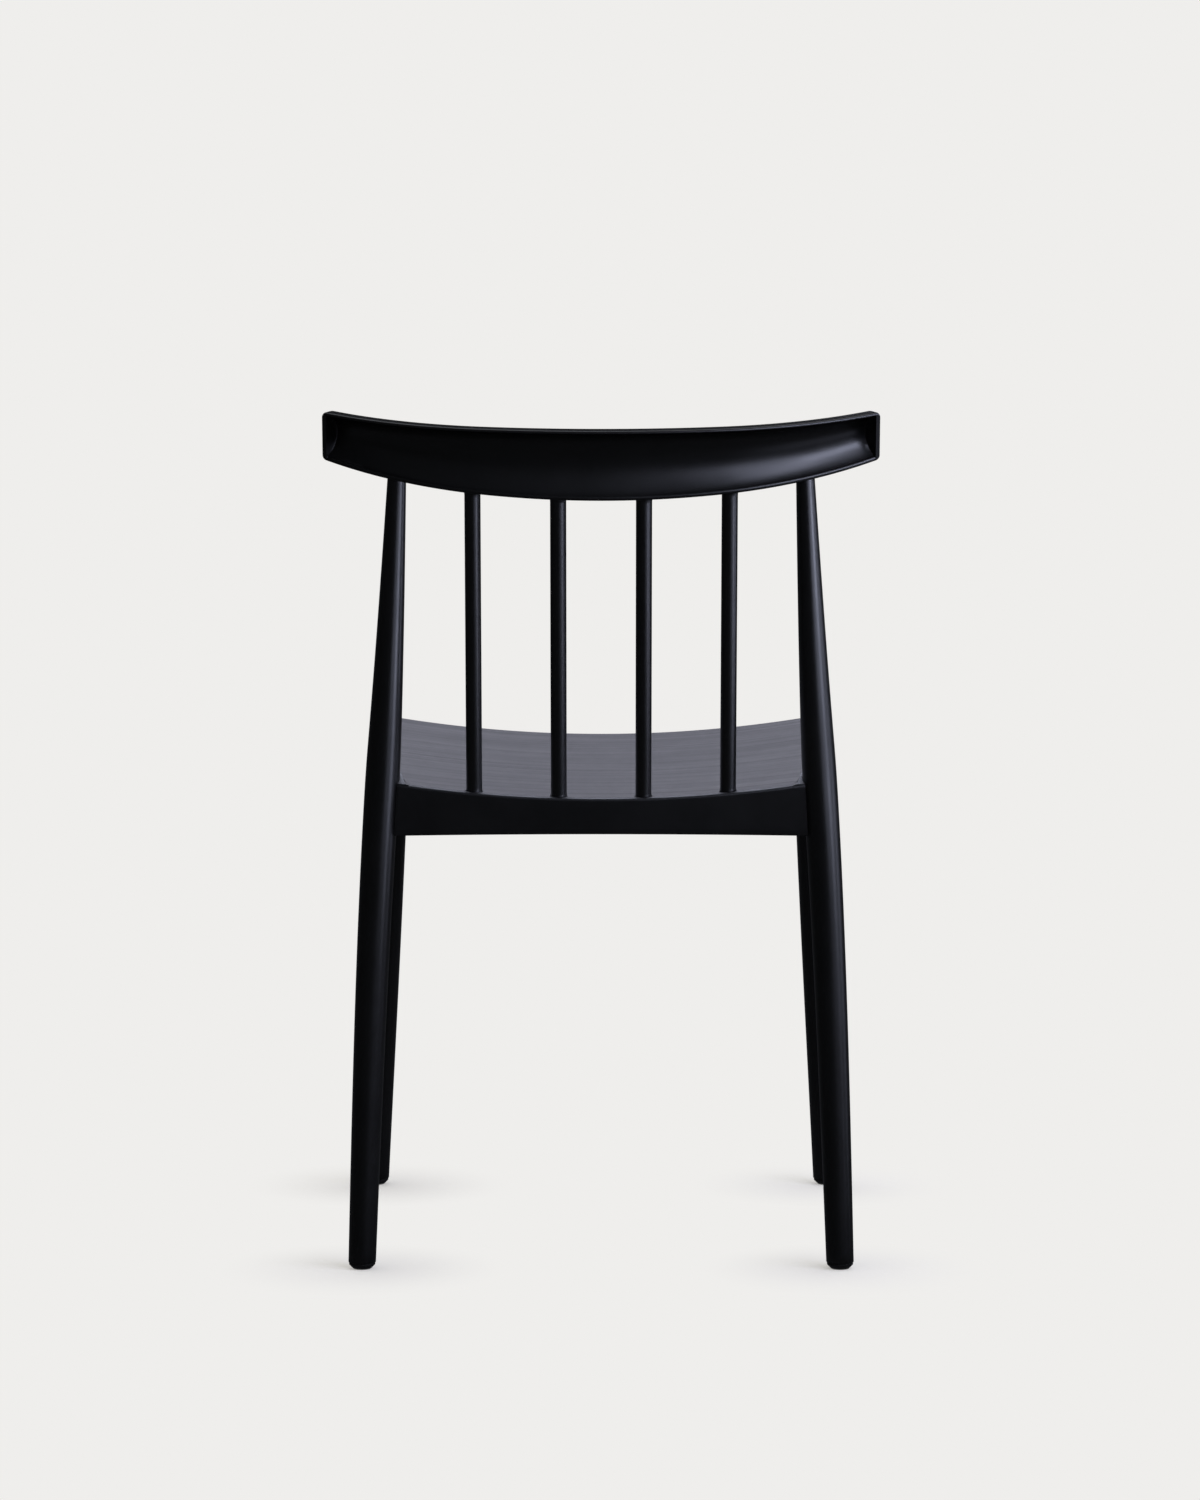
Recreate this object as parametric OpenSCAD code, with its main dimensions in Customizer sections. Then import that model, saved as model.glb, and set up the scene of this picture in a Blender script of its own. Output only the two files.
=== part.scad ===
// Moulded plastic dining chair with a scooped back rail and four round spindles.
// Millimetres. The floor is z = 0, +Z is up and +Y is the back of the chair.
// The origin is the middle of the chair's footprint. "Left" is the sitter's left, +X.

/* [Overall] */
// Height of the seat's rear edge above the floor, at its middle
seat_h = 440; // [420:1:460]
// Height of the back rail's upper edge above the seat's rear edge, at its middle
back_h = 345; // [320:0.5:370]
// Depth of the seat along its middle line
seat_depth = 449; // [430:1:470]
// How far the back rail stands behind the seat's rear edge
rail_reach = 65; // [55:1:75]

/* [Seat] */
// Width of the seat across its front corners
seat_front_w = 468; // [460:1:480]
// How far the seat's rear corners reach past the axes of the rear legs
seat_rear_over = 7.6; // [6:0.2:10.6]
// How much higher the front edge is than the rear edge
seat_rise = 21.4; // [12:0.2:26]
// Hollow of the seat from front to back, at the middle
seat_hollow_h = 3; // [0:0.5:6]
// Radius of the dish across the front of the seat
dish_front_r = 1190; // [1000:10:1600]
// Radius of the dish across the rear of the seat
dish_rear_r = 1450; // [1100:10:1800]
// How far the front edge bows out at its middle
front_bow = 9; // [4:1:14]
// How far the rear edge bows out at its middle
rear_bow = 13; // [8:1:18]
// Radius of the seat's front corners in plan
front_corner_r = 38; // [32:1:42]
// Radius of the seat's rear corners in plan, before the leg notches
rear_corner_r = 12; // [9:1:16]
// Radius of the rolled front edge
front_round = 14; // [10:1:16]
// Radius of the rolled rear edge
rear_round = 3.5; // [2.5:0.5:5]
// Thickness of the seat panel
panel_t = 5; // [4:0.5:6]
// Thickness of the skirt
skirt_t = 4.5; // [3.5:0.5:6]
// Depth of the skirt's lower edge below the seat's middle line
skirt_drop = 34.2; // [31:0.2:42]
// How much lower the skirt is at the legs than at its middle
skirt_arch = 3.6; // [0:0.2:5]
// Thickness of the ribs under the seat
rib_t = 3; // [2:0.5:4]
// Depth of the ribs below the seat panel
rib_h = 12; // [6:1:15]
// Distance between the ribs that run front to back
rib_pitch_x = 79.4; // [70:0.2:90]
// Distance between the ribs that run across
rib_pitch_y = 88; // [76:1:96]

/* [Back rail] */
// Width of the rail from end to end, along its rear face
rail_w = 521.2; // [505:0.2:530]
// Height of the rail at its middle
rail_h = 66; // [60:0.5:72]
// Thickness of the rail
rail_t = 20; // [19:0.5:24]
// Backward tilt of the rail
rail_tilt = 12; // [9:0.5:15]
// Plan radius of the rail's flatter middle
rail_mid_r = 730; // [650:10:850]
// Half width of the flatter middle
rail_mid_x = 112; // [100:1:130]
// Plan radius of the rail's ends
rail_end_r = 311; // [290:1:340]
// Radius of the rail's arched lower edge
rail_arch_r = 1650; // [1450:10:1900]
// Depth of the scooped hollow in the rear face
scoop_depth = 15.5; // [12:0.5:15.5]
// How far up the hollow's deepest line lies: 1 is the middle, less is higher
scoop_lean = 0.844; // [0.8:0.004:1]
// How full the hollow's section is: 1 is a plain wave, less has steeper walls
scoop_fullness = 0.7; // [0.7:0.02:1]
// Height of the rim above the hollow
scoop_rim_top = 2.4; // [1.8:0.1:3.6]
// Height of the rim below the hollow
scoop_rim = 3.3; // [2.8:0.1:4]
// Thickness of the wall that closes the hollow at each end
scoop_end = 5.5; // [4:0.5:8]
// Rounding of the rail's upper front edge
rail_top_round = 11; // [8:0.5:13]
// Rounding of the rail's lower front edge
rail_front_round = 5; // [3:0.5:7]
// Rounding of the rail's rear edges
rail_rear_round = 1.2; // [0.8:0.1:1.6]
// Rounding of the rail's ends
rail_end_round = 4.5; // [3:0.5:5]

/* [Rear legs] */
// Distance between the rear feet, centre to centre
rear_foot_w = 448.4; // [440:0.2:460]
// Distance between the rear legs at seat level
rear_seat_w = 412.8; // [406:0.2:420]
// Distance between the rear legs at the back rail
rear_top_w = 379.4; // [370:0.2:390]
// How far the rear feet stand behind the seat's rear edge
rear_foot_back = 33; // [20:1:45]
// How far the rear legs stand in front of the seat's rear edge, at seat level
rear_seat_in = 19; // [16:0.5:22]
// Outward slope of the rear legs at the floor
rear_foot_splay = 1.65; // [1:0.05:2.5]
// Outward slope of the rear legs at seat level
rear_seat_splay = 3.8; // [3:0.1:4.5]
// Outward slope of the rear legs at the back rail
rear_top_splay = 2.9; // [2:0.1:3.5]
// Backward sweep of the rear legs at the floor
rear_foot_sweep = 8; // [5:0.5:10]
// Diameter of the rear legs at the floor
rear_foot_d = 25.7; // [24:0.1:28]
// Diameter that the lower leg grows to at seat level
rear_leg_d = 32.4; // [31:0.2:34]
// Diameter of the rear legs at the back rail
rear_top_d = 17.3; // [16:0.1:18.5]
// Diameter lost for each millimetre of the upper leg
rear_taper = 0.0556; // [0.05:0.0002:0.058]
// Softening where the two tapers of the rear leg meet
rear_blend = 1.6; // [1:0.1:3]

/* [Front legs] */
// How far in from the seat's front corners the front feet stand
front_foot_side = 4; // [1:0.5:9]
// How far in from the seat's front corners the front legs stand, at the seat
front_side_in = 22.5; // [21:0.5:25]
// How far the front feet stand behind the seat's front edge
front_foot_in = 24; // [20:1:34]
// How far the front legs stand behind the seat's front edge, at the seat
front_top_in = 35; // [33:0.5:38]
// Diameter of the front legs at the floor
front_foot_d = 26; // [24:0.1:28]
// Diameter of the front legs at the seat
front_top_d = 32.6; // [31:0.2:33.4]
// Diameter of the spigot on top of the front leg
spigot_d = 24; // [20:0.5:25]
// Length of the spigot on top of the front leg
spigot_l = 38; // [36:0.5:40]

/* [Spindles] */
// Diameter of the spindles
spindle_d = 15; // [13:0.1:15.4]
// Distance between the spindles, centre to centre
spindle_pitch = 79.4; // [74:0.2:82]
// Distance from the seat's rear edge to a spindle's axis
spindle_in = 11; // [10:0.5:13]
// Diameter of the flared ends of the spindles
spindle_flare_d = 17; // [16:0.1:17.6]
// Length of the flare at each end
spindle_flare_l = 6; // [3:0.5:10]
// Diameter of the tenon at the top of a spindle
spindle_tenon_d = 6.6; // [5.6:0.2:7]
// Diameter of the peg at the bottom of a spindle
spindle_peg_d = 10; // [9:0.2:11]
// Length of the peg at the bottom of a spindle
spindle_peg_l = 14; // [11:0.5:15]

/* [Joints] */
// Gap round a part that passes through or beside another
joint_gap = 0.3; // [0.2:0.05:0.5]
// Gap round a pressed tenon, peg, spigot or insert
fit_gap = 0.12; // [0.08:0.01:0.2]
// Depth that the leg and spindle ends are let into the rail
rail_let_in = 1.5; // [1.2:0.1:1.8]
// Depth that the shoulder of a front leg is let into the seat
front_let_in = 1.5; // [1:0.1:2]
// Depth that the spindles are let into the seat
seat_let_in = 2; // [1.8:0.1:2.4]
// Length of the tenons in the rail
tenon_l = 5.2; // [4.5:0.1:5.5]
// Diameter of the tenon on top of the rear leg
leg_tenon_d = 6.8; // [6:0.2:7]
// Height of the fillet where the seat meets the rear leg
collar_h = 14; // [8:0.5:16]
// Width of the fillet where the seat meets the rear leg
collar_w = 10; // [6:0.5:12]
// Thickness of the fillet's upper lip
collar_lip = 1; // [0.8:0.1:1.6]
// Slope of the fillet's rear facet, as height for each millimetre forward
collar_slope = 0.6; // [0.4:0.05:1]

/* [Glides] */
// Height of the glide below the leg
glide_h = 6; // [5:0.5:8]
// Diameter of the glide where it meets the leg
glide_d = 24.6; // [22:0.2:24.8]
// Diameter of the glide on the floor
glide_floor_d = 17; // [14:0.5:20]
// Diameter of the glide's stem
stem_d = 12; // [10:0.5:14]
// Length of the glide's stem
stem_l = 18; // [12:1:24]

/* [Fasteners] */
// Diameter of the leg bolts
bolt_d = 6; // [5:0.5:6]
// Diameter of the bolt head
bolt_head_d = 10; // [9:0.5:10.5]
// Height of the bolt head
bolt_head_h = 5.5; // [4:0.5:6]
// Length of the bolt under its head
bolt_l = 19; // [17:0.5:20]
// Distance between the two bolts of a leg
bolt_pitch = 18; // [15:0.5:19]
// Wall of the seat under each bolt head
bolt_wall = 8; // [7:0.5:9]
// Diameter of the washers
washer_d = 13; // [11:0.5:13.5]
// Thickness of the washers
washer_t = 1.2; // [1:0.1:1.6]
// Outer diameter of the threaded inserts
insert_d = 9; // [8:0.5:9.5]
// Length of the threaded inserts
insert_l = 11; // [10:0.5:12]
// Diameter of the spindle screws
screw_d = 4; // [3.5:0.1:4.2]
// Length of the spindle screws under the head
screw_l = 16; // [12:0.5:17]
// Diameter of the spindle screw head
screw_head_d = 8; // [7:0.5:9]
// Clearance round the screws and bolts in their holes
screw_gap = 0.3; // [0.2:0.05:0.4]

/* [Hidden] */
$fn = 48;

black = [0.055, 0.058, 0.068];
glide_black = [0.035, 0.036, 0.04];
steel = [0.62, 0.63, 0.65];
brass = [0.72, 0.56, 0.27];

leg_sides = 28;
eps = 0.01;

// Length of a cut that only has to reach past the part
past = 60;

seat_rear_w = rear_seat_w + 2 * seat_rear_over;
front_top_w = seat_front_w - 2 * front_side_in;
front_foot_w = seat_front_w - 2 * front_foot_side;
seat_front_y = -(seat_depth + rail_reach) / 2;
seat_rear_y = seat_front_y + seat_depth;
rail_back_y = seat_rear_y + rail_reach;
rail_top_z = seat_h + back_h;

// Helpers

function unit(v) = v / norm(v);

// Smooth curve between two values with a given slope at each end
function blend_curve(from, from_slope, to, to_slope, length, t) =
    (2 * pow(t, 3) - 3 * pow(t, 2) + 1) * from
    + (pow(t, 3) - 2 * pow(t, 2) + t) * length * from_slope
    + (3 * pow(t, 2) - 2 * pow(t, 3)) * to
    + (pow(t, 3) - pow(t, 2)) * length * to_slope;

// The smaller of two values, with the corner between them rounded off
function soft_min(a, b, width) =
    let (h = max(width - abs(a - b), 0) / width)
    min(a, b) - h * h * width / 4;

// Closed surface through a row of rings that all have the same number of points.
// Seen from its end, each ring runs anticlockwise.
module skin(rings, start, end) {
    count = len(rings[0]);
    last = len(rings) - 1;
    points = concat([for (ring = rings) each ring], [start, end]);
    start_index = len(points) - 2;
    end_index = len(points) - 1;
    faces = concat(
        [for (j = [0 : count - 1]) [start_index, j, (j + 1) % count]],
        [for (i = [0 : last - 1], j = [0 : count - 1])
            let (a = i * count + j, b = i * count + (j + 1) % count)
            each [[a, b + count, b], [a, a + count, b + count]]],
        [for (j = [0 : count - 1])
            [end_index, last * count + (j + 1) % count, last * count + j]]
    );
    polyhedron(points = points, faces = faces, convexity = 8);
}

// Ring of points round a centre, square to a direction
function ring_round(centre, direction, radius) =
    let (side = unit(cross([0, 1, 0], direction)), up = cross(direction, side))
    [for (i = [0 : leg_sides - 1])
        let (a = 360 * i / leg_sides) centre + radius * (cos(a) * side + sin(a) * up)];

// Puts its children with their z axis along a direction, starting at a point, without a twist
module along(start, direction) {
    d = unit(direction);
    turn = atan2(d.y, d.x);
    translate(start)
        rotate([0, acos(d.z), turn])
            rotate([0, 0, -turn])
                children();
}

// Draws its children, and again mirrored across the middle of the chair
module both_sides() {
    children();
    mirror([1, 0, 0]) children();
}

// Back rail: plan curve of two radii, in a plane that tilts back

rail_mid_angle = asin(rail_mid_x / rail_mid_r);
rail_end_centre = [
    rail_mid_x - rail_end_r * sin(rail_mid_angle),
    rail_mid_r * (1 - cos(rail_mid_angle)) + rail_end_r * cos(rail_mid_angle),
];

// Angle of the rail's curve where the line at a given depth has a given x
function rail_angle(x, depth) =
    abs(x) <= (rail_mid_r - depth) * sin(rail_mid_angle)
        ? asin(x / (rail_mid_r - depth))
        : sign(x) * asin((abs(x) - rail_end_centre.x) / (rail_end_r - depth));

// Point in the rail's own plane: x, and the distance in front of its rearmost line
function rail_plan(angle, depth) =
    abs(angle) <= rail_mid_angle
        ? [(rail_mid_r - depth) * sin(angle), rail_mid_r - (rail_mid_r - depth) * cos(angle)]
        : [sign(angle) * (rail_end_centre.x + (rail_end_r - depth) * sin(abs(angle))),
            rail_end_centre.y - (rail_end_r - depth) * cos(angle)];

// From the rail's own plane to the chair: down is the distance below the upper edge
function rail_place(plan, down) = [
    plan.x,
    rail_back_y - plan.y * cos(rail_tilt) - down * sin(rail_tilt),
    rail_top_z + plan.y * sin(rail_tilt) - down * cos(rail_tilt),
];

function rail_height(angle) =
    rail_h - rail_arch_r + sqrt(pow(rail_arch_r, 2) - pow(rail_plan(angle, 0).x, 2));

rail_end_angle = rail_angle(rail_w / 2, 0);
rail_axis_depth = rail_t / 2 - 0.2;

// Point on the rail's underside, on the line of its posts and spindles
function rail_under(x) =
    let (angle = rail_angle(x, rail_axis_depth))
    rail_place(rail_plan(angle, rail_axis_depth), rail_height(angle));

// Depth of the hollow, from 0 at its upper rim to 1 at its lower rim
function scoop(t) =
    scoop_depth * pow(max(sin(180 * pow(t, scoop_lean)), 0), scoop_fullness);

scoop_steps = 16;

function corner(centre, radius, from, to, steps) =
    [for (i = [0 : steps])
        let (a = from + (to - from) * i / steps) centre + radius * [cos(a), sin(a)]];

// Section of the rail as [depth, -down], with its ends drawn in near the rail's ends
function rail_section(height, pull, rear_pull, front_pull, hollow) =
    let (top = -pull, bottom = pull - height,
        rear = rear_pull, front = rail_t - front_pull,
        rr = rail_rear_round, tr = rail_top_round, fr = rail_front_round)
    concat(
        corner([rear + rr, top - rr], rr, 180, 90, 2),
        corner([front - tr, top - tr], tr, 90, 0, 6),
        corner([front - fr, bottom + fr], fr, 0, -90, 4),
        corner([rear + rr, bottom + rr], rr, -90, -180, 2),
        [for (i = [scoop_steps : -1 : 0])
            let (t = (1 - cos(180 * i / scoop_steps)) / 2)
            [rear + hollow * scoop(t),
                top - scoop_rim_top + (bottom - top + scoop_rim_top + scoop_rim) * t]]
    );

// How far a rounded end is drawn in, at a distance from the end
function end_pull(radius, distance) =
    distance >= radius ? 0 : radius - sqrt(pow(radius, 2) - pow(radius - distance, 2));

function rail_ring(angle, distance, hollow) =
    [for (p = rail_section(rail_height(angle), end_pull(rail_end_round, distance),
            end_pull(rail_rear_round, distance), end_pull(rail_front_round, distance), hollow))
        rail_place(rail_plan(angle, p.x), -p.y)];

scoop_draft = 0.8;
rail_steps = 14;
function end_angle(distance) = rail_end_angle - distance / rail_end_r * 180 / PI;
scoop_end_angle = end_angle(scoop_end + scoop_draft);

// Rings from the middle of the rail to its left end
rail_half_rings = concat(
    [for (i = [0 : rail_steps]) rail_ring(scoop_end_angle * i / rail_steps, scoop_end, 1)],
    [rail_ring(end_angle(scoop_end), scoop_end, 0)],
    [for (d = rail_end_round * [0.62, 0.27, 0.09, 0]) rail_ring(end_angle(d), d, 0)]
);

function mirror_x(points) = [for (p = points) [-p.x, p.y, p.z]];

module rail_body() {
    last = len(rail_half_rings) - 1;
    rings = concat(
        [for (i = [last : -1 : 1]) mirror_x(rail_half_rings[i])],
        rail_half_rings
    );
    middle = rail_place(rail_plan(rail_end_angle, rail_t / 2), rail_height(rail_end_angle) / 2);
    skin(rings, [-middle.x, middle.y, middle.z], middle);
}

// Seat: a dished panel with a skirt, from one outline

function seat_along(y) = (seat_rear_y - y) / seat_depth;
function seat_line(y) =
    let (t = seat_along(y)) seat_h + seat_rise * t - 4 * seat_hollow_h * t * (1 - t);
function dish(y) =
    let (t = seat_along(y)) (1 - t) / (2 * dish_rear_r) + t / (2 * dish_front_r);
function seat_top(p) = seat_line(p.y) + dish(p.y) * pow(p.x, 2);
function skirt_z(p) =
    seat_line(p.y) - skirt_drop - skirt_arch * pow(2 * p.x / seat_rear_w, 2);
function edge_round(y) = rear_round + (front_round - rear_round) * seat_along(y);

function rear_edge(x) = [x, seat_rear_y - rear_bow * pow(2 * x / seat_rear_w, 2)];
function front_edge(x) = [x, seat_front_y + front_bow * pow(2 * x / seat_front_w, 2)];

rear_corner = rear_edge(seat_rear_w / 2 - rear_corner_r) - [0, rear_corner_r];
front_corner = front_edge(seat_front_w / 2 - front_corner_r) + [0, front_corner_r];
side_from = front_corner + [front_corner_r, 0];
side_to = rear_corner + [rear_corner_r, 0];

// Half of the outline, from the middle of the front edge round the left side
half_outline = concat(
    [for (i = [0 : 7]) front_edge(front_corner.x * i / 8)],
    corner(front_corner, front_corner_r, -90, 0, 6),
    [for (i = [1 : 6]) side_from + (side_to - side_from) * i / 7],
    corner(rear_corner, rear_corner_r, 0, 90, 4),
    [for (i = [7 : -1 : 0]) rear_edge(rear_corner.x * i / 8)]
);
outline = concat(
    half_outline,
    [for (i = [len(half_outline) - 2 : -1 : 1]) [-half_outline[i].x, half_outline[i].y]]
);
outline_count = len(outline);
outward = [for (i = [0 : outline_count - 1])
    let (d = outline[(i + 1) % outline_count] - outline[(i + outline_count - 1) % outline_count])
    unit([d.y, -d.x])];
seat_middle = [0, (seat_front_y + seat_rear_y) / 2];

function inset(i, distance) = outline[i] - distance * outward[i];
function shrunk(p, share) = seat_middle + share * (p - seat_middle);
function raise(p, z) = [p.x, p.y, z];

edge_break = 1;

// Outside of the seat, from the skirt's lower edge up over the rolled edge to the panel
module seat_solid() {
    points = [0 : outline_count - 1];
    rings = concat(
        [[for (i = points) let (p = inset(i, edge_break)) raise(p, skirt_z(p))]],
        [[for (i = points) let (p = inset(i, 0)) raise(p, skirt_z(p) + edge_break)]],
        [for (a = [0, 22.5, 45, 67.5, 90])
            [for (i = points)
                let (r = edge_round(outline[i].y), p = inset(i, r * (1 - cos(a))))
                raise(p, seat_top(p) - r * (1 - sin(a)))]],
        [for (share = [0.86, 0.66, 0.44, 0.2])
            [for (i = points)
                let (p = shrunk(inset(i, edge_round(outline[i].y)), share)) raise(p, seat_top(p))]]
    );
    skin(rings, raise(seat_middle, skirt_z(seat_middle)), raise(seat_middle, seat_top(seat_middle)));
}

cavity_round = 6.5;

// Space under the panel and inside the skirt, open downwards
module seat_cavity() {
    points = [0 : outline_count - 1];
    below = 3;
    // Corner under the panel: distance in from the skirt, and down from the panel
    fillet = cavity_round * [[0.15, 0.92], [0.4, 0.25], [1, 0]];
    rings = concat(
        [[for (i = points) let (p = inset(i, skirt_t)) raise(p, skirt_z(p) - below)]],
        [for (f = fillet)
            [for (i = points)
                let (p = inset(i, skirt_t + f[0])) raise(p, seat_top(p) - panel_t - f[1])]],
        [for (share = [0.74, 0.48, 0.22])
            [for (i = points) let (p = shrunk(outline[i], share)) raise(p, seat_top(p) - panel_t)]]
    );
    skin(rings, raise(seat_middle, skirt_z(seat_middle) - below),
        raise(seat_middle, seat_top(seat_middle) - panel_t));
}

// Places of the ribs, in rib pitches from the middle; the corners are left free for the bolts
rib_x_places = [-2, -1, 0, 1, 2];
rib_y_places = [-1.5, -0.5, 0.5, 1.5];
rib_reach = 100;

// Grid of ribs; only what lies inside the cavity is used
module ribs() {
    for (i = rib_x_places)
        translate([i * rib_pitch_x - rib_t / 2, 0, 0])
            rotate([90, 0, 90])
                linear_extrude(rib_t)
                    polygon([
                        [seat_front_y, seat_line(seat_front_y) - panel_t - rib_h],
                        [seat_rear_y, seat_line(seat_rear_y) - panel_t - rib_h],
                        [seat_rear_y, seat_h + rib_reach],
                        [seat_front_y, seat_h + rib_reach],
                    ]);
    for (i = rib_y_places)
        let (y = seat_middle.y + i * rib_pitch_y)
            translate([-seat_front_w / 2, y - rib_t / 2, seat_line(y) - panel_t - rib_h])
                cube([seat_front_w, rib_t, rib_reach]);
}

// Rear legs: one piece from the floor to the back rail

rail_joint_left = rail_under(rear_top_w / 2);
rear_top_direction = unit([-tan(rear_top_splay), tan(rail_tilt), 1]);
rear_top = rail_joint_left + rail_let_in * rear_top_direction;

function rear_x(z) = z < seat_h
    ? blend_curve(rear_foot_w / 2, -tan(rear_foot_splay), rear_seat_w / 2, -tan(rear_seat_splay),
        seat_h, z / seat_h)
    : blend_curve(rear_seat_w / 2, -tan(rear_seat_splay), rear_top.x, -tan(rear_top_splay),
        rear_top.z - seat_h, (z - seat_h) / (rear_top.z - seat_h));
function rear_y(z) = z < seat_h
    ? blend_curve(seat_rear_y + rear_foot_back, -tan(rear_foot_sweep), seat_rear_y - rear_seat_in, 0,
        seat_h, z / seat_h)
    : blend_curve(seat_rear_y - rear_seat_in, 0, rear_top.y, tan(rail_tilt),
        rear_top.z - seat_h, (z - seat_h) / (rear_top.z - seat_h));
function rear_centre(z) = [rear_x(z), rear_y(z), z];

// The lower leg swells towards the seat and the upper leg tapers towards the rail
function rear_d(z) = soft_min(
    blend_curve(rear_foot_d, 1.25 * (rear_leg_d - rear_foot_d) / seat_h, rear_leg_d,
        0.6 * (rear_leg_d - rear_foot_d) / seat_h, seat_h, z / seat_h),
    rear_top_d + rear_taper * (rear_top.z - z),
    rear_blend);

slope_step = 1;
function rear_direction(z) =
    z <= glide_h + eps ? [0, 0, 1]
    : z >= rear_top.z - slope_step ? rear_top_direction
    : unit(rear_centre(z + slope_step) - rear_centre(z - slope_step));

function rear_rings(from, to, steps, grow) =
    [for (i = [0 : steps])
        let (z = from + (to - from) * i / steps)
        ring_round(rear_centre(z), rear_direction(z), rear_d(z) / 2 + grow)];

rear_steps = 27;

module rear_leg_body() {
    skin(rear_rings(glide_h, rear_top.z, rear_steps, 0), rear_centre(glide_h), rear_top);
}

// The stretch of the leg that stands in the seat's notch, grown by the joint gap
module rear_notch() {
    beyond = 12;
    low = seat_h - skirt_drop - beyond;
    high = seat_h + dish(seat_rear_y) * pow(seat_rear_w / 2, 2) + collar_h + beyond;
    skin(rear_rings(low, high, 6, joint_gap), rear_centre(low), rear_centre(high));
}

// Concave fillet that carries the seat's surface up to the leg
module collar() {
    base = seat_top(rear_centre(seat_h) - [rear_d(seat_h) / 2, 0, 0]);
    steps = 6;
    sunk = 9;
    function flare(t) = collar_lip + (collar_w - collar_lip) * (1 - sqrt(1 - pow(1 - t, 2)));
    rings = concat(
        [ring_round(rear_centre(base - sunk), rear_direction(base - sunk),
            rear_d(base) / 2 + joint_gap + collar_w)],
        [for (i = [0 : steps])
            let (t = pow(i / steps, 1.5), z = base + collar_h * t)
            ring_round(rear_centre(z), rear_direction(z), rear_d(z) / 2 + joint_gap + flare(t))]
    );
    // Facet that slopes up and forward from the seat's rear edge
    edge = rear_edge(rear_seat_w / 2);
    edge_z = seat_top(edge) - rear_round / 2;
    reach = 2 * (rear_leg_d + collar_w);
    intersection() {
        skin(rings, rear_centre(base - sunk), rear_centre(base + collar_h));
        translate([0, 0, seat_h - skirt_drop])
            linear_extrude(2 * skirt_drop + 2 * collar_h)
                polygon([for (i = [0 : outline_count - 1]) inset(i, joint_gap)]);
        rotate([90, 0, 90])
            linear_extrude(seat_rear_w)
                polygon([
                    [edge.y - reach, edge_z - reach],
                    [edge.y + reach, edge_z - reach],
                    [edge.y + reach, edge_z - collar_slope * reach],
                    [edge.y - reach, edge_z + collar_slope * reach],
                ]);
    }
}

// Front legs: straight and round, leaning out and forward

front_foot = [front_foot_w / 2, seat_front_y + front_foot_in, 0];
front_joint_xy = [front_top_w / 2, seat_front_y + front_top_in];
front_joint = raise(front_joint_xy, skirt_z(front_joint_xy) + front_let_in);
front_direction = unit(front_joint - front_foot);
front_length = norm(front_joint - front_foot);
function front_centre(z) =
    front_foot + (front_joint - front_foot) * (z / front_joint.z);

// Bolts: where each one starts, at its washer, and which way it points

out_rear = unit([1, 1, 0]);
out_front = unit([1, -1, 0]);

bolt_margin = 5;
rear_block_low = skirt_z(rear_centre(seat_h)) + 1;
rear_bolt_z = rear_block_low + bolt_head_d / 2 + bolt_margin;
front_bolt_z = front_joint.z + bolt_head_d / 2 + bolt_margin;

// Distance from the leg's axis to the face that the washers sit on
rear_face = rear_d(rear_bolt_z + bolt_pitch / 2) / 2 + joint_gap + bolt_wall;
front_face = spigot_d / 2 + fit_gap + bolt_wall;

function rear_bolt(i) = rear_centre(rear_bolt_z + i * bolt_pitch);
function front_bolt(i) = front_centre(front_bolt_z + i * bolt_pitch);
rear_face_centre = rear_centre(rear_bolt_z + bolt_pitch / 2);
front_face_centre = front_centre(front_bolt_z + bolt_pitch / 2);

// Runs its children at each bolt of one side: z points out along the bolt, 0 is the leg's axis
module at_rear_bolts() {
    for (i = [0, 1])
        along([rear_face_centre.x, rear_face_centre.y, rear_bolt(i).z], out_rear)
            children();
}
module at_front_bolts() {
    for (i = [0, 1])
        along([front_face_centre.x, front_face_centre.y, front_bolt(i).z], out_front)
            children();
}

head_room = 2;

// Room that the ribs leave round the washers and bolt heads
module head_rooms() {
    depth = washer_t + bolt_head_h + head_room;
    at_rear_bolts() translate([0, 0, -rear_face - depth])
        cylinder(d = washer_d + 2 * head_room, h = depth);
    at_front_bolts() translate([0, 0, -front_face - depth])
        cylinder(d = washer_d + 2 * head_room, h = depth);
}

insert_in = 0.6;
insert_bore_l = insert_l + insert_in + 0.2;

// Corner block of the seat in front of the rear leg; only what lies inside the cavity is used
module rear_block() {
    half = 40;
    translate([rear_face_centre.x, rear_face_centre.y, rear_block_low])
        rotate([0, 0, 45])
            translate([-rear_face, -half, 0])
                cube([rear_face, 2 * half, rib_reach]);
}

// Socket boss of the seat round the front leg's spigot, with a flat pad for the bolts
module front_boss() {
    pad = washer_d + 2;
    wall = 7;
    along(front_joint - 2 * front_direction, front_direction)
        cylinder(d = spigot_d + 2 * fit_gap + 2 * wall, h = rib_reach);
    translate([front_face_centre.x, front_face_centre.y, front_joint.z - 1])
        rotate([0, 0, -45])
            translate([-front_face, -pad / 2, 0])
                cube([front_face, pad, rib_reach]);
    translate([front_joint.x - rib_t / 2, seat_front_y, front_joint.z])
        cube([rib_t, seat_depth, rib_reach]);
    translate([front_joint.x - 2 * front_top_in, front_joint.y - rib_t / 2, front_joint.z])
        cube([4 * front_top_in, rib_t, rib_reach]);
}

// Spindles

spindle_xs = [1.5, 0.5, -0.5, -1.5] * spindle_pitch;

function spindle_foot(x) = let (p = rear_edge(x) - [0, spindle_in]) raise(p, seat_top(p));
function spindle_direction(x) = unit(rail_under(x) - spindle_foot(x));
function spindle_base(x) = spindle_foot(x) - seat_let_in * spindle_direction(x);
function spindle_length(x) =
    norm(rail_under(x) - spindle_foot(x)) + seat_let_in + rail_let_in;

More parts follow.
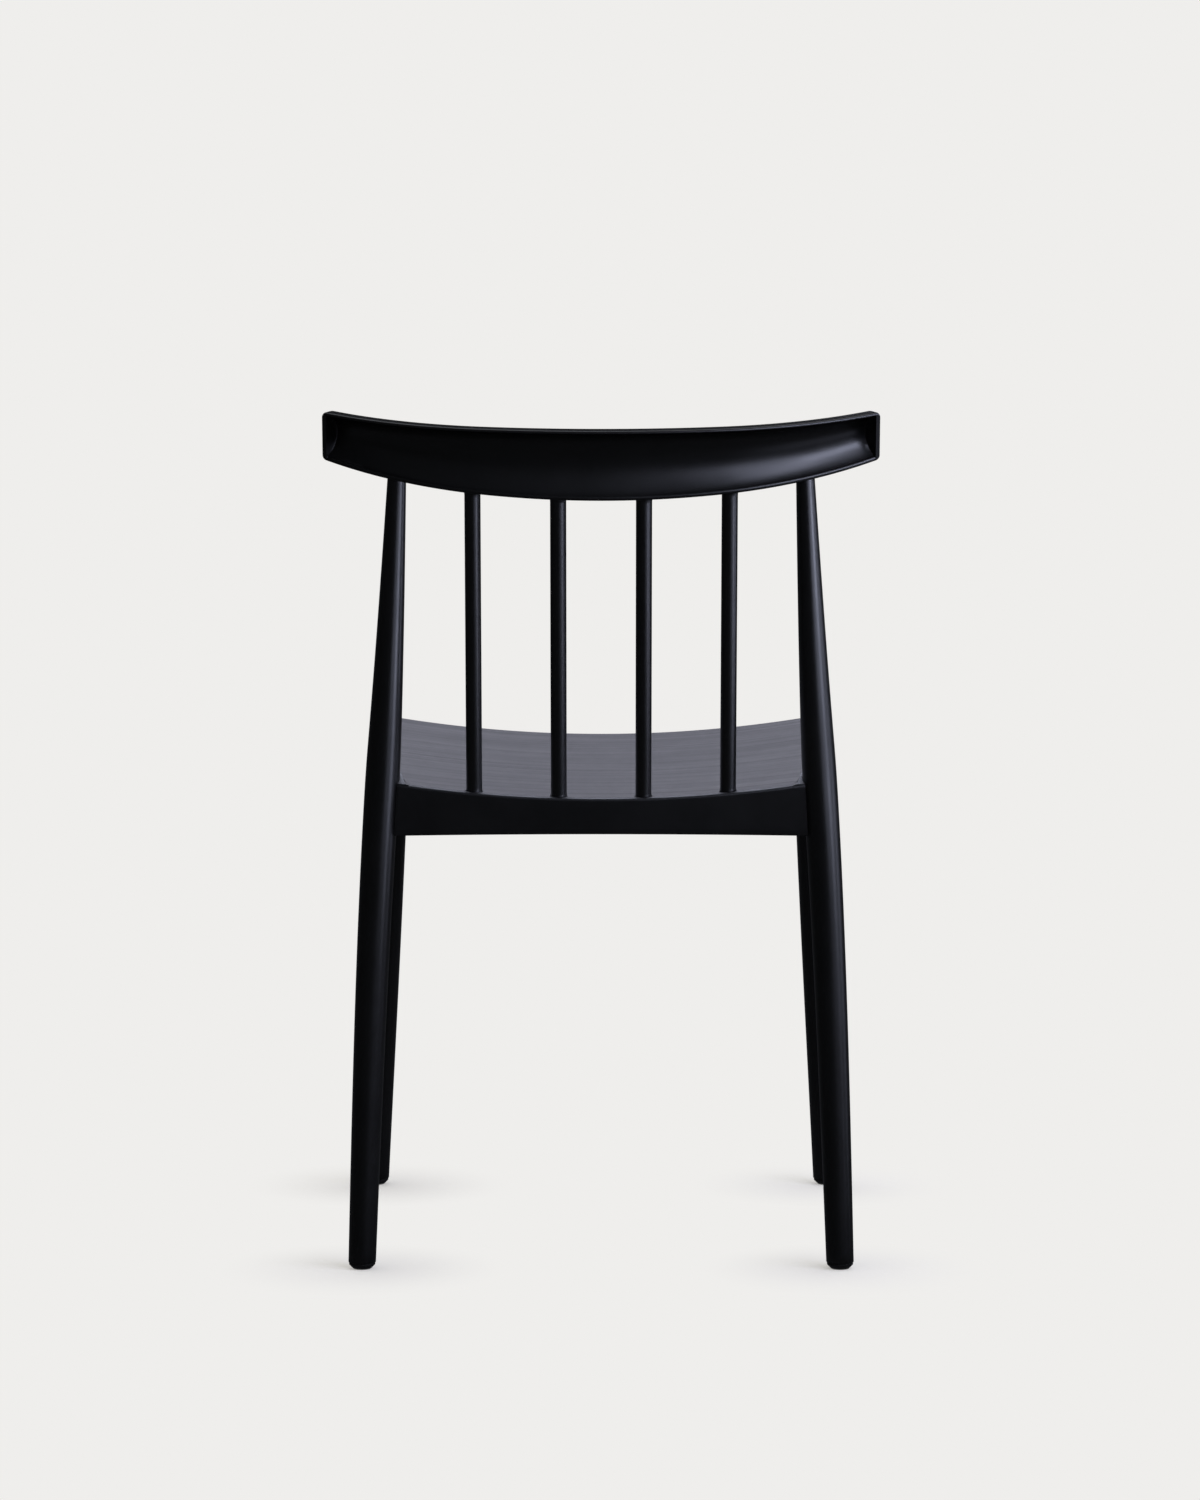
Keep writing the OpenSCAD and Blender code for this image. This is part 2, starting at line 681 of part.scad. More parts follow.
boss_wall = 4;
boss_floor = 4;
pilot_over = 1;

module spindle_boss(x) {
    along(spindle_base(x), -spindle_direction(x))
        cylinder(d = spindle_peg_d + 2 * fit_gap + 2 * boss_wall,
            h = spindle_peg_l + fit_gap + boss_floor);
}

// Everything cut from the seat for one spindle
module spindle_socket(x) {
    along(spindle_base(x), spindle_direction(x))
        cylinder(d = spindle_flare_d + 2 * fit_gap, h = past);
    along(spindle_base(x) + eps * spindle_direction(x), -spindle_direction(x))
        cylinder(d = spindle_peg_d + 2 * fit_gap, h = spindle_peg_l + fit_gap + eps);
    along(spindle_base(x), -spindle_direction(x))
        cylinder(d = screw_d + 2 * screw_gap, h = past);
}

// Sub-parts

module crest_rail() {
    color(black)
        difference() {
            rail_body();
            both_sides() rail_socket(rear_top, rear_top_direction, rear_top_d, leg_tenon_d);
            for (x = spindle_xs)
                rail_socket(rail_under(x) + rail_let_in * spindle_direction(x),
                    spindle_direction(x), spindle_flare_d, spindle_tenon_d);
        }
}

// Shallow seat for a round end, with the bore for its tenon above
module rail_socket(floor, direction, end_d, tenon_d) {
    along(floor - past / 4 * direction, direction)
        cylinder(d = end_d + 2 * fit_gap, h = past / 4);
    along(floor - eps * direction, direction)
        cylinder(d = tenon_d + 2 * fit_gap, h = tenon_l + fit_gap + eps);
}

module seat() {
    color(black)
        difference() {
            union() {
                seat_solid();
                both_sides() collar();
            }
            difference() {
                seat_cavity();
                difference() {
                    union() {
                        ribs();
                        both_sides() front_boss();
                    }
                    both_sides() head_rooms();
                }
                both_sides() rear_block();
                for (x = spindle_xs) spindle_boss(x);
            }
            both_sides() {
                rear_notch();
                at_rear_bolts() translate([0, 0, -rear_face - eps])
                    cylinder(d = bolt_d + 2 * screw_gap, h = rear_face);
                along(front_joint, front_direction)
                    cylinder(d = spigot_d + 2 * fit_gap, h = spigot_l + fit_gap);
                along(front_joint, -front_direction)
                    cylinder(d = front_top_d + 2 * joint_gap, h = past);
                at_front_bolts() translate([0, 0, -front_face - eps])
                    cylinder(d = bolt_d + 2 * screw_gap, h = front_face);
            }
            for (x = spindle_xs) spindle_socket(x);
        }
}

tenon_root = 3;

module rear_leg() {
    difference() {
        union() {
            rear_leg_body();
            along(rear_top - tenon_root * rear_top_direction, rear_top_direction)
                cylinder(d = leg_tenon_d, h = tenon_l + tenon_root);
        }
        translate(rear_centre(glide_h) - [0, 0, 1])
            cylinder(d = stem_d + 2 * fit_gap, h = stem_l + 2);
        at_rear_bolts() translate([0, 0, -rear_face])
            cylinder(d = insert_d + 2 * fit_gap, h = bolt_wall + joint_gap + insert_bore_l);
    }
}

// Half section of the front leg: radius and distance from the floor along its axis
front_steps = 8;
function front_d(t) = front_foot_d + (front_top_d - front_foot_d) * sin(90 * pow(t, 1.15));

module front_leg() {
    below = 4;
    difference() {
        along(front_foot, front_direction)
            rotate_extrude()
                polygon(concat(
                    [[0, -below], [front_foot_d / 2, -below]],
                    [for (i = [0 : front_steps])
                        let (t = i / front_steps) [front_d(t) / 2, front_length * t]],
                    [[spigot_d / 2, front_length],
                        [spigot_d / 2, front_length + spigot_l - 1],
                        [spigot_d / 2 - 1, front_length + spigot_l],
                        [0, front_length + spigot_l]]
                ));
        translate(front_foot - [front_foot_d, front_foot_d, 2 * below])
            cube([2 * front_foot_d, 2 * front_foot_d, 2 * below + glide_h]);
        translate(front_centre(glide_h) - [0, 0, 1])
            cylinder(d = stem_d + 2 * fit_gap, h = stem_l + 2);
        at_front_bolts() translate([0, 0, -front_face])
            cylinder(d = insert_d + 2 * fit_gap, h = bolt_wall + fit_gap + insert_bore_l);
    }
}

module spindle(x) {
    length = spindle_length(x);
    steps = 4;
    function flare_r(t) =
        spindle_d / 2 + (spindle_flare_d - spindle_d) / 2 * pow(1 - t, 2);
    color(black)
        difference() {
            along(spindle_base(x), spindle_direction(x))
                rotate_extrude()
                    polygon(concat(
                        [[0, -spindle_peg_l], [spindle_peg_d / 2 - 1, -spindle_peg_l],
                            [spindle_peg_d / 2, 1 - spindle_peg_l], [spindle_peg_d / 2, 0]],
                        [for (i = [0 : steps]) [flare_r(i / steps), spindle_flare_l * i / steps]],
                        [for (i = [steps : -1 : 0])
                            [flare_r(i / steps), length - spindle_flare_l * i / steps]],
                        [[spindle_tenon_d / 2, length], [spindle_tenon_d / 2, length + tenon_l],
                            [0, length + tenon_l]]
                    ));
            along(spindle_base(x) - (spindle_peg_l + eps) * spindle_direction(x), spindle_direction(x))
                cylinder(d = screw_d + 2 * fit_gap, h = screw_l - boss_floor + pilot_over);
        }
}

module glide(centre) {
    edge = 1.4;
    barb = 0.4;
    color(glide_black)
        translate([centre.x, centre.y, 0])
            rotate_extrude()
                polygon(concat(
                    [[0, 0], [glide_floor_d / 2, 0]],
                    [for (a = [-60, -30, 0])
                        [glide_d / 2 - edge * (1 - cos(a)), glide_h - edge + edge * sin(a)]],
                    [[glide_d / 2, glide_h], [stem_d / 2 - barb, glide_h]],
                    [for (i = [1 : 3]) let (z = glide_h + stem_l * i / 4)
                        each [[stem_d / 2 - barb, z - 1.5], [stem_d / 2, z - 1.2],
                            [stem_d / 2, z - 0.4], [stem_d / 2 - barb, z]]],
                    [[stem_d / 2 - barb, glide_h + stem_l - 1],
                        [stem_d / 2 - barb - 1, glide_h + stem_l], [0, glide_h + stem_l]]
                ));
}

// A leg bolt with its head towards the middle of the seat; z = 0 is the leg's axis
module bolt(face) {
    socket_d = bolt_d * 0.85;
    translate([0, 0, -face - washer_t])
        difference() {
            union() {
                cylinder(d = bolt_d, h = bolt_l);
                translate([0, 0, -bolt_head_h]) cylinder(d = bolt_head_d, h = bolt_head_h);
            }
            translate([0, 0, -bolt_head_h - eps])
                cylinder(d = socket_d, h = bolt_head_h / 2, $fn = 6);
        }
}

module washer(face) {
    translate([0, 0, -face - washer_t])
        difference() {
            cylinder(d = washer_d, h = washer_t);
            translate([0, 0, -1]) cylinder(d = bolt_d + screw_gap, h = washer_t + 2);
        }
}

module insert(face) {
    translate([0, 0, -face + bolt_wall + joint_gap + insert_in])
        difference() {
            cylinder(d = insert_d, h = insert_l);
            translate([0, 0, -1]) cylinder(d = bolt_d + 2 * fit_gap, h = insert_l + 2);
        }
}

module at_all_bolts() {
    both_sides() {
        at_rear_bolts() children(0);
        at_front_bolts() children(1);
    }
}

module leg_bolts() {
    color(steel) at_all_bolts() { bolt(rear_face); bolt(front_face); }
}
module leg_washers() {
    color(steel) at_all_bolts() { washer(rear_face); washer(front_face); }
}
module leg_inserts() {
    color(brass) at_all_bolts() { insert(rear_face); insert(front_face); }
}

module spindle_screws() {
    head_h = 2.6;
    color(steel)
        for (x = spindle_xs)
            along(spindle_base(x) - (spindle_peg_l + fit_gap + boss_floor) * spindle_direction(x),
                    spindle_direction(x)) {
                translate([0, 0, -head_h]) cylinder(d = screw_head_d, h = head_h);
                translate([0, 0, -head_h / 2]) cylinder(d = screw_d, h = screw_l + head_h / 2);
            }
}

crest_rail();
seat();
color(black) rear_leg();  // rear_leg_left
color(black) mirror([1, 0, 0]) rear_leg();  // rear_leg_right
color(black) front_leg();  // front_leg_left
color(black) mirror([1, 0, 0]) front_leg();  // front_leg_right
spindle(spindle_xs[0]);  // spindle_outer_left
spindle(spindle_xs[1]);  // spindle_inner_left
spindle(spindle_xs[2]);  // spindle_inner_right
spindle(spindle_xs[3]);  // spindle_outer_right
glide(rear_centre(glide_h));  // glide_rear_left
mirror([1, 0, 0]) glide(rear_centre(glide_h));  // glide_rear_right
glide(front_centre(glide_h));  // glide_front_left
mirror([1, 0, 0]) glide(front_centre(glide_h));  // glide_front_right
leg_bolts();
leg_washers();
leg_inserts();
spindle_screws();
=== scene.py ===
"""Looks of the black moulded plastic dining chair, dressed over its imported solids.

The shapes repeat the sizes of the part, in millimetres, with finer steps and soft edges. Left is the
sitter's left, +X, and the photograph looks at the chair's back from +Y.
"""

import math

import bpy
import numpy as np
from mathutils import Matrix, Vector


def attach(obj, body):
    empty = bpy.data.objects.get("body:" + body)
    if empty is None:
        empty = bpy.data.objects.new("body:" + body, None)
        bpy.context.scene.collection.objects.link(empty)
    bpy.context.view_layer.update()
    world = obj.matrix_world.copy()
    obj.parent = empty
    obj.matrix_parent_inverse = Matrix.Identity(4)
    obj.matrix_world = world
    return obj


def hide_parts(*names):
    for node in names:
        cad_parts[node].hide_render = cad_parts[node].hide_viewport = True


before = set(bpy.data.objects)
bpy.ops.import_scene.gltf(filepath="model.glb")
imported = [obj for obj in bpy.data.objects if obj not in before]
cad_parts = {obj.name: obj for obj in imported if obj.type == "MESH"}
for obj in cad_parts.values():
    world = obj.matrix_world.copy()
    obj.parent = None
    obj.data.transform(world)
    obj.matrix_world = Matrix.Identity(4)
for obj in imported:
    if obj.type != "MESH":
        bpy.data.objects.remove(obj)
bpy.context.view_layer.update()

MM = 0.001
UP = np.array([0.0, 0.0, 1.0])
FLIP = np.array([-1, 1, 1])  # to the other side of the chair


# ---------------------------------------------------------------- helpers


def unit(v):
    v = np.asarray(v, float)
    return v / np.linalg.norm(v)


def hermite(start, start_slope, end, end_slope, length, t):
    """Cubic between two values with a slope at each, at the share t of the length."""
    return (
        (2 * t**3 - 3 * t**2 + 1) * start
        + (t**3 - 2 * t**2 + t) * length * start_slope
        + (3 * t**2 - 2 * t**3) * end
        + (t**3 - t**2) * length * end_slope
    )


def soft_min(a, b, width):
    """The lesser of two values, blended where they differ by less than a width."""
    h = np.maximum(width - np.abs(a - b), 0) / width
    return np.minimum(a, b) - h * h * width / 4


def tan(degrees):
    return math.tan(math.radians(degrees))


def sin_cos(degrees):
    angle = math.radians(degrees)
    return math.sin(angle), math.cos(angle)


def add_mesh(name, points, faces, sharp=30):
    """A mesh object from points in millimetres, smooth but for its sharp edges."""
    mesh = bpy.data.meshes.new(name)
    mesh.from_pydata([tuple(MM * np.asarray(p, float)) for p in points], [], faces)
    mesh.validate()
    mesh.update()
    mesh.polygons.foreach_set("use_smooth", [True] * len(mesh.polygons))
    mesh.set_sharp_from_angle(angle=math.radians(sharp))
    obj = bpy.data.objects.new(name, mesh)
    bpy.context.scene.collection.objects.link(obj)
    return obj


def mirrored(points):
    return [p * FLIP for p in points]


def skin(name, rings, start, end, sharp=30, flip=False):
    """A closed surface through rings of points, closed by a fan at each end.

    With flip it lies on the other side of the chair, still wound outwards.
    """
    if flip:
        rings = [mirrored(ring)[::-1] for ring in rings]
        start, end = start * FLIP, end * FLIP
    count, last = len(rings[0]), len(rings) - 1
    points = [p for ring in rings for p in ring] + [start, end]
    first, final = len(points) - 2, len(points) - 1
    faces = [(first, (j + 1) % count, j) for j in range(count)]
    for i in range(last):
        for j in range(count):
            a, b = i * count + j, i * count + (j + 1) % count
            faces.append((a, b, b + count, a + count))
    faces += [(final, last * count + j, last * count + (j + 1) % count) for j in range(count)]
    return add_mesh(name, points, faces, sharp)


def ring_round(centre, direction, radius, sides=64):
    side = unit(np.cross([0, 1, 0], direction))
    up = np.cross(direction, side)
    a = np.linspace(0, 2 * math.pi, sides, endpoint=False)[:, None]
    return np.asarray(centre, float) + radius * (np.cos(a) * side + np.sin(a) * up)


def turned(name, start, direction, profile, sides=64, sharp=30):
    """A turned solid: profile is (distance along the axis, radius) from one end to the other."""
    start, direction = np.asarray(start, float), unit(direction)
    rings = [ring_round(start + s * direction, direction, r, sides) for s, r in profile]
    ends = [start + s * direction for s in (profile[0][0], profile[-1][0])]
    return skin(name, rings, *ends, sharp)


def combine(target, tool, operation):
    """Cuts or joins one mesh by another, and removes the tool."""
    step = target.modifiers.new("combine", "BOOLEAN")
    step.operation = operation
    step.solver = "MANIFOLD"
    step.object = tool
    bpy.context.view_layer.update()
    graph = bpy.context.evaluated_depsgraph_get()
    mesh = bpy.data.meshes.new_from_object(target.evaluated_get(graph))
    target.modifiers.clear()
    target.data = mesh
    bpy.data.objects.remove(tool)
    return target


def block(name, low, high, turn=0, pivot=(0, 0, 0)):
    """A box between two corners, turned about the vertical through a pivot."""
    s, c = sin_cos(turn)
    points = [
        (pivot[0] + c * x - s * y, pivot[1] + s * x + c * y, pivot[2] + z)
        for z in (low[2], high[2])
        for y in (low[1], high[1])
        for x in (low[0], high[0])
    ]
    faces = [(0, 2, 3, 1), (4, 5, 7, 6), (0, 1, 5, 4), (2, 6, 7, 3), (0, 4, 6, 2), (1, 3, 7, 5)]
    return add_mesh(name, points, faces)


def arc(centre, radius, start, end, steps):
    """Points of an arc in a plane, between two angles in degrees."""
    a = np.radians(np.linspace(start, end, steps + 1))
    x, y = centre
    return [np.array([x + radius * math.cos(t), y + radius * math.sin(t)]) for t in a]


# ---------------------------------------------------------------- sizes of the part

SEAT_H, BACK_H, SEAT_DEPTH, RAIL_REACH = 440.0, 345.0, 449.0, 65.0
SEAT_FRONT_Y = -(SEAT_DEPTH + RAIL_REACH) / 2
SEAT_REAR_Y = SEAT_FRONT_Y + SEAT_DEPTH
RAIL_BACK_Y = SEAT_REAR_Y + RAIL_REACH
RAIL_TOP_Z = SEAT_H + BACK_H

SEAT_FRONT_W, SEAT_REAR_W = 468.0, 428.0
SEAT_RISE, SEAT_HOLLOW = 21.4, 3.0
DISH_FRONT_R, DISH_REAR_R = 1190.0, 1450.0
FRONT_BOW, REAR_BOW = 9.0, 13.0
FRONT_CORNER_R, REAR_CORNER_R = 38.0, 12.0
FRONT_ROUND, REAR_ROUND = 14.0, 3.5
PANEL_T, SKIRT_T, SKIRT_DROP, SKIRT_ARCH = 5.0, 4.5, 34.2, 3.6
EDGE_BREAK, SKIRT_CHAMFER, CAVITY_ROUND = 1.0, 0.8, 6.5
RIB_T, RIB_H, RIB_PITCH_X, RIB_PITCH_Y = 3.0, 12.0, 79.4, 88.0

RAIL_W, RAIL_H, RAIL_T, RAIL_TILT = 521.2, 66.0, 20.0, 12.0
RAIL_AXIS_DEPTH = RAIL_T / 2 - 0.2
RAIL_MID_R, RAIL_MID_X, RAIL_END_R, RAIL_ARCH_R = 730.0, 112.0, 311.0, 1650.0
SCOOP_DEPTH, SCOOP_LEAN, SCOOP_FULLNESS, SCOOP_DRAFT = 15.5, 0.844, 0.7, 0.8
SCOOP_RIM_TOP, SCOOP_RIM, SCOOP_END = 2.4, 3.3, 5.5
RAIL_TOP_ROUND, RAIL_FRONT_ROUND, RAIL_REAR_ROUND, RAIL_END_ROUND = 11.0, 5.0, 1.2, 4.5

REAR_FOOT_W, REAR_SEAT_W, REAR_TOP_W = 448.4, 412.8, 379.4
REAR_FOOT_BACK, REAR_SEAT_IN = 33.0, 19.0
REAR_FOOT_SPLAY, REAR_SEAT_SPLAY, REAR_TOP_SPLAY, REAR_FOOT_SWEEP = 1.65, 3.8, 2.9, 8.0
REAR_FOOT_D, REAR_LEG_D, REAR_TOP_D, REAR_TAPER, REAR_BLEND = 25.7, 32.4, 17.3, 0.0556, 1.6
# how fast the lower rear leg grows at the floor and at the seat, as shares of its mean slope
REAR_SWELL_FOOT, REAR_SWELL_SEAT = 1.25, 0.6

FRONT_FOOT_W, FRONT_SIDE_IN, FRONT_FOOT_IN, FRONT_TOP_IN = 460.0, 22.5, 24.0, 35.0
FRONT_FOOT_D, FRONT_TOP_D, FRONT_SWELL, SPIGOT_D = 26.0, 32.6, 1.15, 24.0

SPINDLE_D, SPINDLE_PITCH, SPINDLE_IN = 15.0, 79.4, 11.0
SPINDLE_FLARE_D, SPINDLE_FLARE_L, SPINDLE_PEG_D, SPINDLE_PEG_L = 17.0, 6.0, 10.0, 14.0

JOINT_GAP, FIT_GAP, RAIL_LET_IN, SEAT_LET_IN, FRONT_LET_IN = 0.3, 0.12, 1.5, 2.0, 1.5
COLLAR_H, COLLAR_W, COLLAR_LIP, COLLAR_SLOPE, COLLAR_SUNK = 14.0, 10.0, 1.0, 0.6, 9.0
GLIDE_H, GLIDE_D, GLIDE_FLOOR_D = 6.0, 24.6, 17.0
BOLT_HEAD_D, BOLT_PITCH, BOLT_WALL, BOLT_MARGIN, WASHER_D = 10.0, 18.0, 8.0, 5.0, 13.0
BLOCK_LOW, BLOCK_HALF, WEB_HALF = 1.0, 40.0, 70.0
SPIGOT_WALL, PAD_EXTRA, BOSS_WALL, BOSS_FLOOR = 7.0, 2.0, 4.0, 4.0
SPIGOT_SUNK, PAD_SUNK = 2.0, 1.0

# soft edges, finer than the solid's: the rail's rear upper edge, and the lip under its hollow with
# its drop below the hollow's edge and its turn in degrees
RIM_TOP_SOFT, LIP_SOFT, LIP_SOFT_LOW, LIP_SOFT_TURN = 2.3, 3.0, 1.81, 55.0
# the soft edge over a glide: (rise, how far it lies in) of two rings, and the rise of the full leg
FOOT_RINGS, FOOT_SOFT = ((0, 0.7), (0.2, 0.25)), 0.7
FOOT_STRAIGHT = 2.0  # the stretch over a glide that stands upright

SCOOP_STEPS, LIP_STEPS, FINE_SIDES = 60, 7, 96
REACH = 100.0  # how far up the ribs, blocks and bosses reach, past the seat's panel
LEG_SHARP = 40  # angle that stays sharp on legs, spindles and glides


# ---------------------------------------------------------------- back rail

mid_angle = math.asin(RAIL_MID_X / RAIL_MID_R)
end_centre = (
    RAIL_MID_X - RAIL_END_R * math.sin(mid_angle),
    RAIL_MID_R * (1 - math.cos(mid_angle)) + RAIL_END_R * math.cos(mid_angle),
)


def rail_angle(x, depth):
    """Angle, in radians, of the rail's plan curve where the line at a depth has a given x."""
    if abs(x) <= (RAIL_MID_R - depth) * math.sin(mid_angle):
        return math.asin(x / (RAIL_MID_R - depth))
    return math.copysign(math.asin((abs(x) - end_centre[0]) / (RAIL_END_R - depth)), x)


def rail_plan(angle, depth):
    """The plan curve's point at an angle: x, and how far it lies before the rail's back."""
    if abs(angle) <= mid_angle:
        r = RAIL_MID_R - depth
        return r * math.sin(angle), RAIL_MID_R - r * math.cos(angle)
    r = RAIL_END_R - depth
    x = end_centre[0] + r * math.sin(abs(angle))
    return math.copysign(x, angle), end_centre[1] - r * math.cos(angle)


def rail_place(plan, down):
    """The place of a plan point on the tilted rail, down from its upper edge."""
    s, c = sin_cos(RAIL_TILT)
    return np.array(
        [plan[0], RAIL_BACK_Y - plan[1] * c - down * s, RAIL_TOP_Z + plan[1] * s - down * c]
    )


def rail_height(angle):
    x = rail_plan(angle, 0)[0]
    return RAIL_H - RAIL_ARCH_R + math.sqrt(RAIL_ARCH_R**2 - x**2)


def rail_under(x):
    """The place on the rail's lower face where a leg or spindle meets it."""
    angle = rail_angle(x, RAIL_AXIS_DEPTH)
    return rail_place(rail_plan(angle, RAIL_AXIS_DEPTH), rail_height(angle))


def rail_section(height, pull, rear_pull, front_pull, hollow):
    """The rail's section as (depth, -down). It draws in by the pulls near the rail's ends."""
    top, bottom = -pull, pull - height
    rear, front = rear_pull, RAIL_T - front_pull
    soft, rr, tr, fr = RIM_TOP_SOFT, RAIL_REAR_ROUND, RAIL_TOP_ROUND, RAIL_FRONT_ROUND
    section = arc((rear + soft, top - soft), soft, 180, 90, steps=8)
    section += arc((front - tr, top - tr), tr, 90, 0, steps=14)
    section += arc((front - fr, bottom + fr), fr, 0, -90, steps=9)
    section += arc((rear + rr, bottom + rr), rr, -90, -180, steps=5)
    scoop = []
    span = bottom - top + SCOOP_RIM_TOP + SCOOP_RIM
    for a in np.linspace(math.pi, 0, SCOOP_STEPS + 1):
        t = (1 - math.cos(a)) / 2
        depth = SCOOP_DEPTH * max(math.sin(math.pi * t**SCOOP_LEAN), 0) ** SCOOP_FULLNESS
        scoop.append(np.array([rear + hollow * depth, top - SCOOP_RIM_TOP + span * t]))
    # the soft lip takes the place of the hollow's sharp lower edge, with a straight stretch above
    # it that fills the section up to its count of points
    low = scoop[0][1] - LIP_SOFT_LOW
    lip = [
        np.array([rear + hollow * LIP_SOFT * (1 - math.cos(a)), low + LIP_SOFT * math.sin(a)])
        for a in np.radians(np.linspace(0, LIP_SOFT_TURN, LIP_STEPS + 1))
    ]
    clear = 0.05
    wall = [p for p in scoop[1:] if p[1] > lip[-1][1] + clear]
    count = len(scoop) - len(lip) - len(wall) + 1
    joint = [lip[-1] + (wall[0] - lip[-1]) * k / count for k in range(1, count)]
    return section + lip + joint + wall


def end_pull(radius, distance):
    """How far a round draws in at a distance from the rail's end."""
    return 0 if distance >= radius else radius - math.sqrt(radius**2 - (radius - distance) ** 2)


def rail_ring(angle, distance, hollow):
    section = rail_section(
        rail_height(angle),
        end_pull(RAIL_END_ROUND, distance),
        end_pull(RAIL_REAR_ROUND, distance),
        end_pull(RAIL_FRONT_ROUND, distance),
        hollow,
    )
    return [rail_place(rail_plan(angle, p[0]), -p[1]) for p in section]


def make_rail():
    last = rail_angle(RAIL_W / 2, 0)

    def end_angle(distance):
        return last - distance / RAIL_END_R

    inner = end_angle(SCOOP_END + SCOOP_DRAFT)
    half = [rail_ring(a, SCOOP_END, 1) for a in np.linspace(0, inner, 48)]
    # the end wall of the hollow, with a soft foot and a soft edge
    for share, hollow in ((0.75, 0.985), (0.35, 0.93), (0.15, 0.6), (0.02, 0.06), (0, 0)):
        half.append(rail_ring(end_angle(SCOOP_END + SCOOP_DRAFT * share), SCOOP_END, hollow))
    for distance in (RAIL_END_ROUND, 3.6, 2.8, 2.0, 1.3, 0.75, 0.35, 0.1, 0):
        half.append(rail_ring(end_angle(distance), distance, 0))
    rings = [mirrored(ring) for ring in half[:0:-1]] + half
    middle = rail_place(rail_plan(last, RAIL_T / 2), rail_height(last) / 2)
    return skin("crest_rail_skin", rings, middle * FLIP, middle, sharp=35)


# ---------------------------------------------------------------- rear legs

rear_top_direction = unit([-tan(REAR_TOP_SPLAY), tan(RAIL_TILT), 1])
rear_top = rail_under(REAR_TOP_W / 2) + RAIL_LET_IN * rear_top_direction

# the centre line at the floor, the seat and the rail: x, its slope, y and its slope
REAR_LINE_FOOT = (
    REAR_FOOT_W / 2, -tan(REAR_FOOT_SPLAY), SEAT_REAR_Y + REAR_FOOT_BACK, -tan(REAR_FOOT_SWEEP)
)
REAR_LINE_SEAT = REAR_SEAT_W / 2, -tan(REAR_SEAT_SPLAY), SEAT_REAR_Y - REAR_SEAT_IN, 0
REAR_LINE_TOP = rear_top[0], -tan(REAR_TOP_SPLAY), rear_top[1], tan(RAIL_TILT)
SLOPE_STEP = 1.0


def rear_centre(z):
    if z < SEAT_H:
        length, t = SEAT_H, z / SEAT_H
        start, end = REAR_LINE_FOOT, REAR_LINE_SEAT
    else:
        length = rear_top[2] - SEAT_H
        t = (z - SEAT_H) / length
        start, end = REAR_LINE_SEAT, REAR_LINE_TOP
    x = hermite(*start[:2], *end[:2], length, t)
    y = hermite(*start[2:], *end[2:], length, t)
    return np.array([x, y, z])


def rear_d(z):
    slope = (REAR_LEG_D - REAR_FOOT_D) / SEAT_H
    lower = hermite(
        REAR_FOOT_D, REAR_SWELL_FOOT * slope, REAR_LEG_D, REAR_SWELL_SEAT * slope, SEAT_H, z / SEAT_H
    )
    return float(soft_min(lower, REAR_TOP_D + REAR_TAPER * (rear_top[2] - z), REAR_BLEND))


def rear_direction(z):
    if z <= GLIDE_H + FOOT_STRAIGHT:
        return UP
    if z >= rear_top[2] - SLOPE_STEP:
        return rear_top_direction
    return unit(rear_centre(z + SLOPE_STEP) - rear_centre(z - SLOPE_STEP))


def rear_rings(start, end, steps, grow=0, sides=64):
    return [
        ring_round(rear_centre(z), rear_direction(z), rear_d(z) / 2 + grow, sides)
        for z in np.linspace(start, end, steps + 1)
    ]


def make_rear_leg(name, flip):
    foot_r = rear_d(GLIDE_H) / 2
    rings = [ring_round(rear_centre(GLIDE_H + up), UP, foot_r - inset) for up, inset in FOOT_RINGS]
    rings += rear_rings(GLIDE_H + FOOT_SOFT, rear_top[2], steps=110)
    return skin(name, rings, rear_centre(GLIDE_H), rear_top, LEG_SHARP, flip)


# ---------------------------------------------------------------- seat


def seat_along(y):
    return (SEAT_REAR_Y - y) / SEAT_DEPTH


def seat_line(y):
    t = seat_along(y)
    return SEAT_H + SEAT_RISE * t - 4 * SEAT_HOLLOW * t * (1 - t)


def dish(y):
    t = seat_along(y)
    return (1 - t) / (2 * DISH_REAR_R) + t / (2 * DISH_FRONT_R)


def seat_top(p):
    return seat_line(p[1]) + dish(p[1]) * p[0] ** 2


def skirt_z(p):
    return seat_line(p[1]) - SKIRT_DROP - SKIRT_ARCH * (2 * p[0] / SEAT_REAR_W) ** 2


def edge_round(y):
    return REAR_ROUND + (FRONT_ROUND - REAR_ROUND) * seat_along(y)


def rear_edge(x):
    return np.array([x, SEAT_REAR_Y - REAR_BOW * (2 * x / SEAT_REAR_W) ** 2])


def front_edge(x):
    return np.array([x, SEAT_FRONT_Y + FRONT_BOW * (2 * x / SEAT_FRONT_W) ** 2])


def make_outline():
    """The seat's outline, from the middle of its front edge round by the left side."""
    edge_steps, side_steps = 24, 30
    rear_corner = rear_edge(SEAT_REAR_W / 2 - REAR_CORNER_R) - [0, REAR_CORNER_R]
    front_corner = front_edge(SEAT_FRONT_W / 2 - FRONT_CORNER_R) + [0, FRONT_CORNER_R]
    start = front_corner + [FRONT_CORNER_R, 0]
    end = rear_corner + [REAR_CORNER_R, 0]
    half = [front_edge(front_corner[0] * i / edge_steps) for i in range(edge_steps)]
    half += arc(front_corner, FRONT_CORNER_R, -90, 0, steps=18)
    half += [start + (end - start) * i / side_steps for i in range(1, side_steps)]
    half += arc(rear_corner, REAR_CORNER_R, 0, 90, steps=10)
    half += [rear_edge(rear_corner[0] * i / edge_steps) for i in range(edge_steps - 1, -1, -1)]
    return np.array(half + [p * [-1, 1] for p in half[-2:0:-1]])


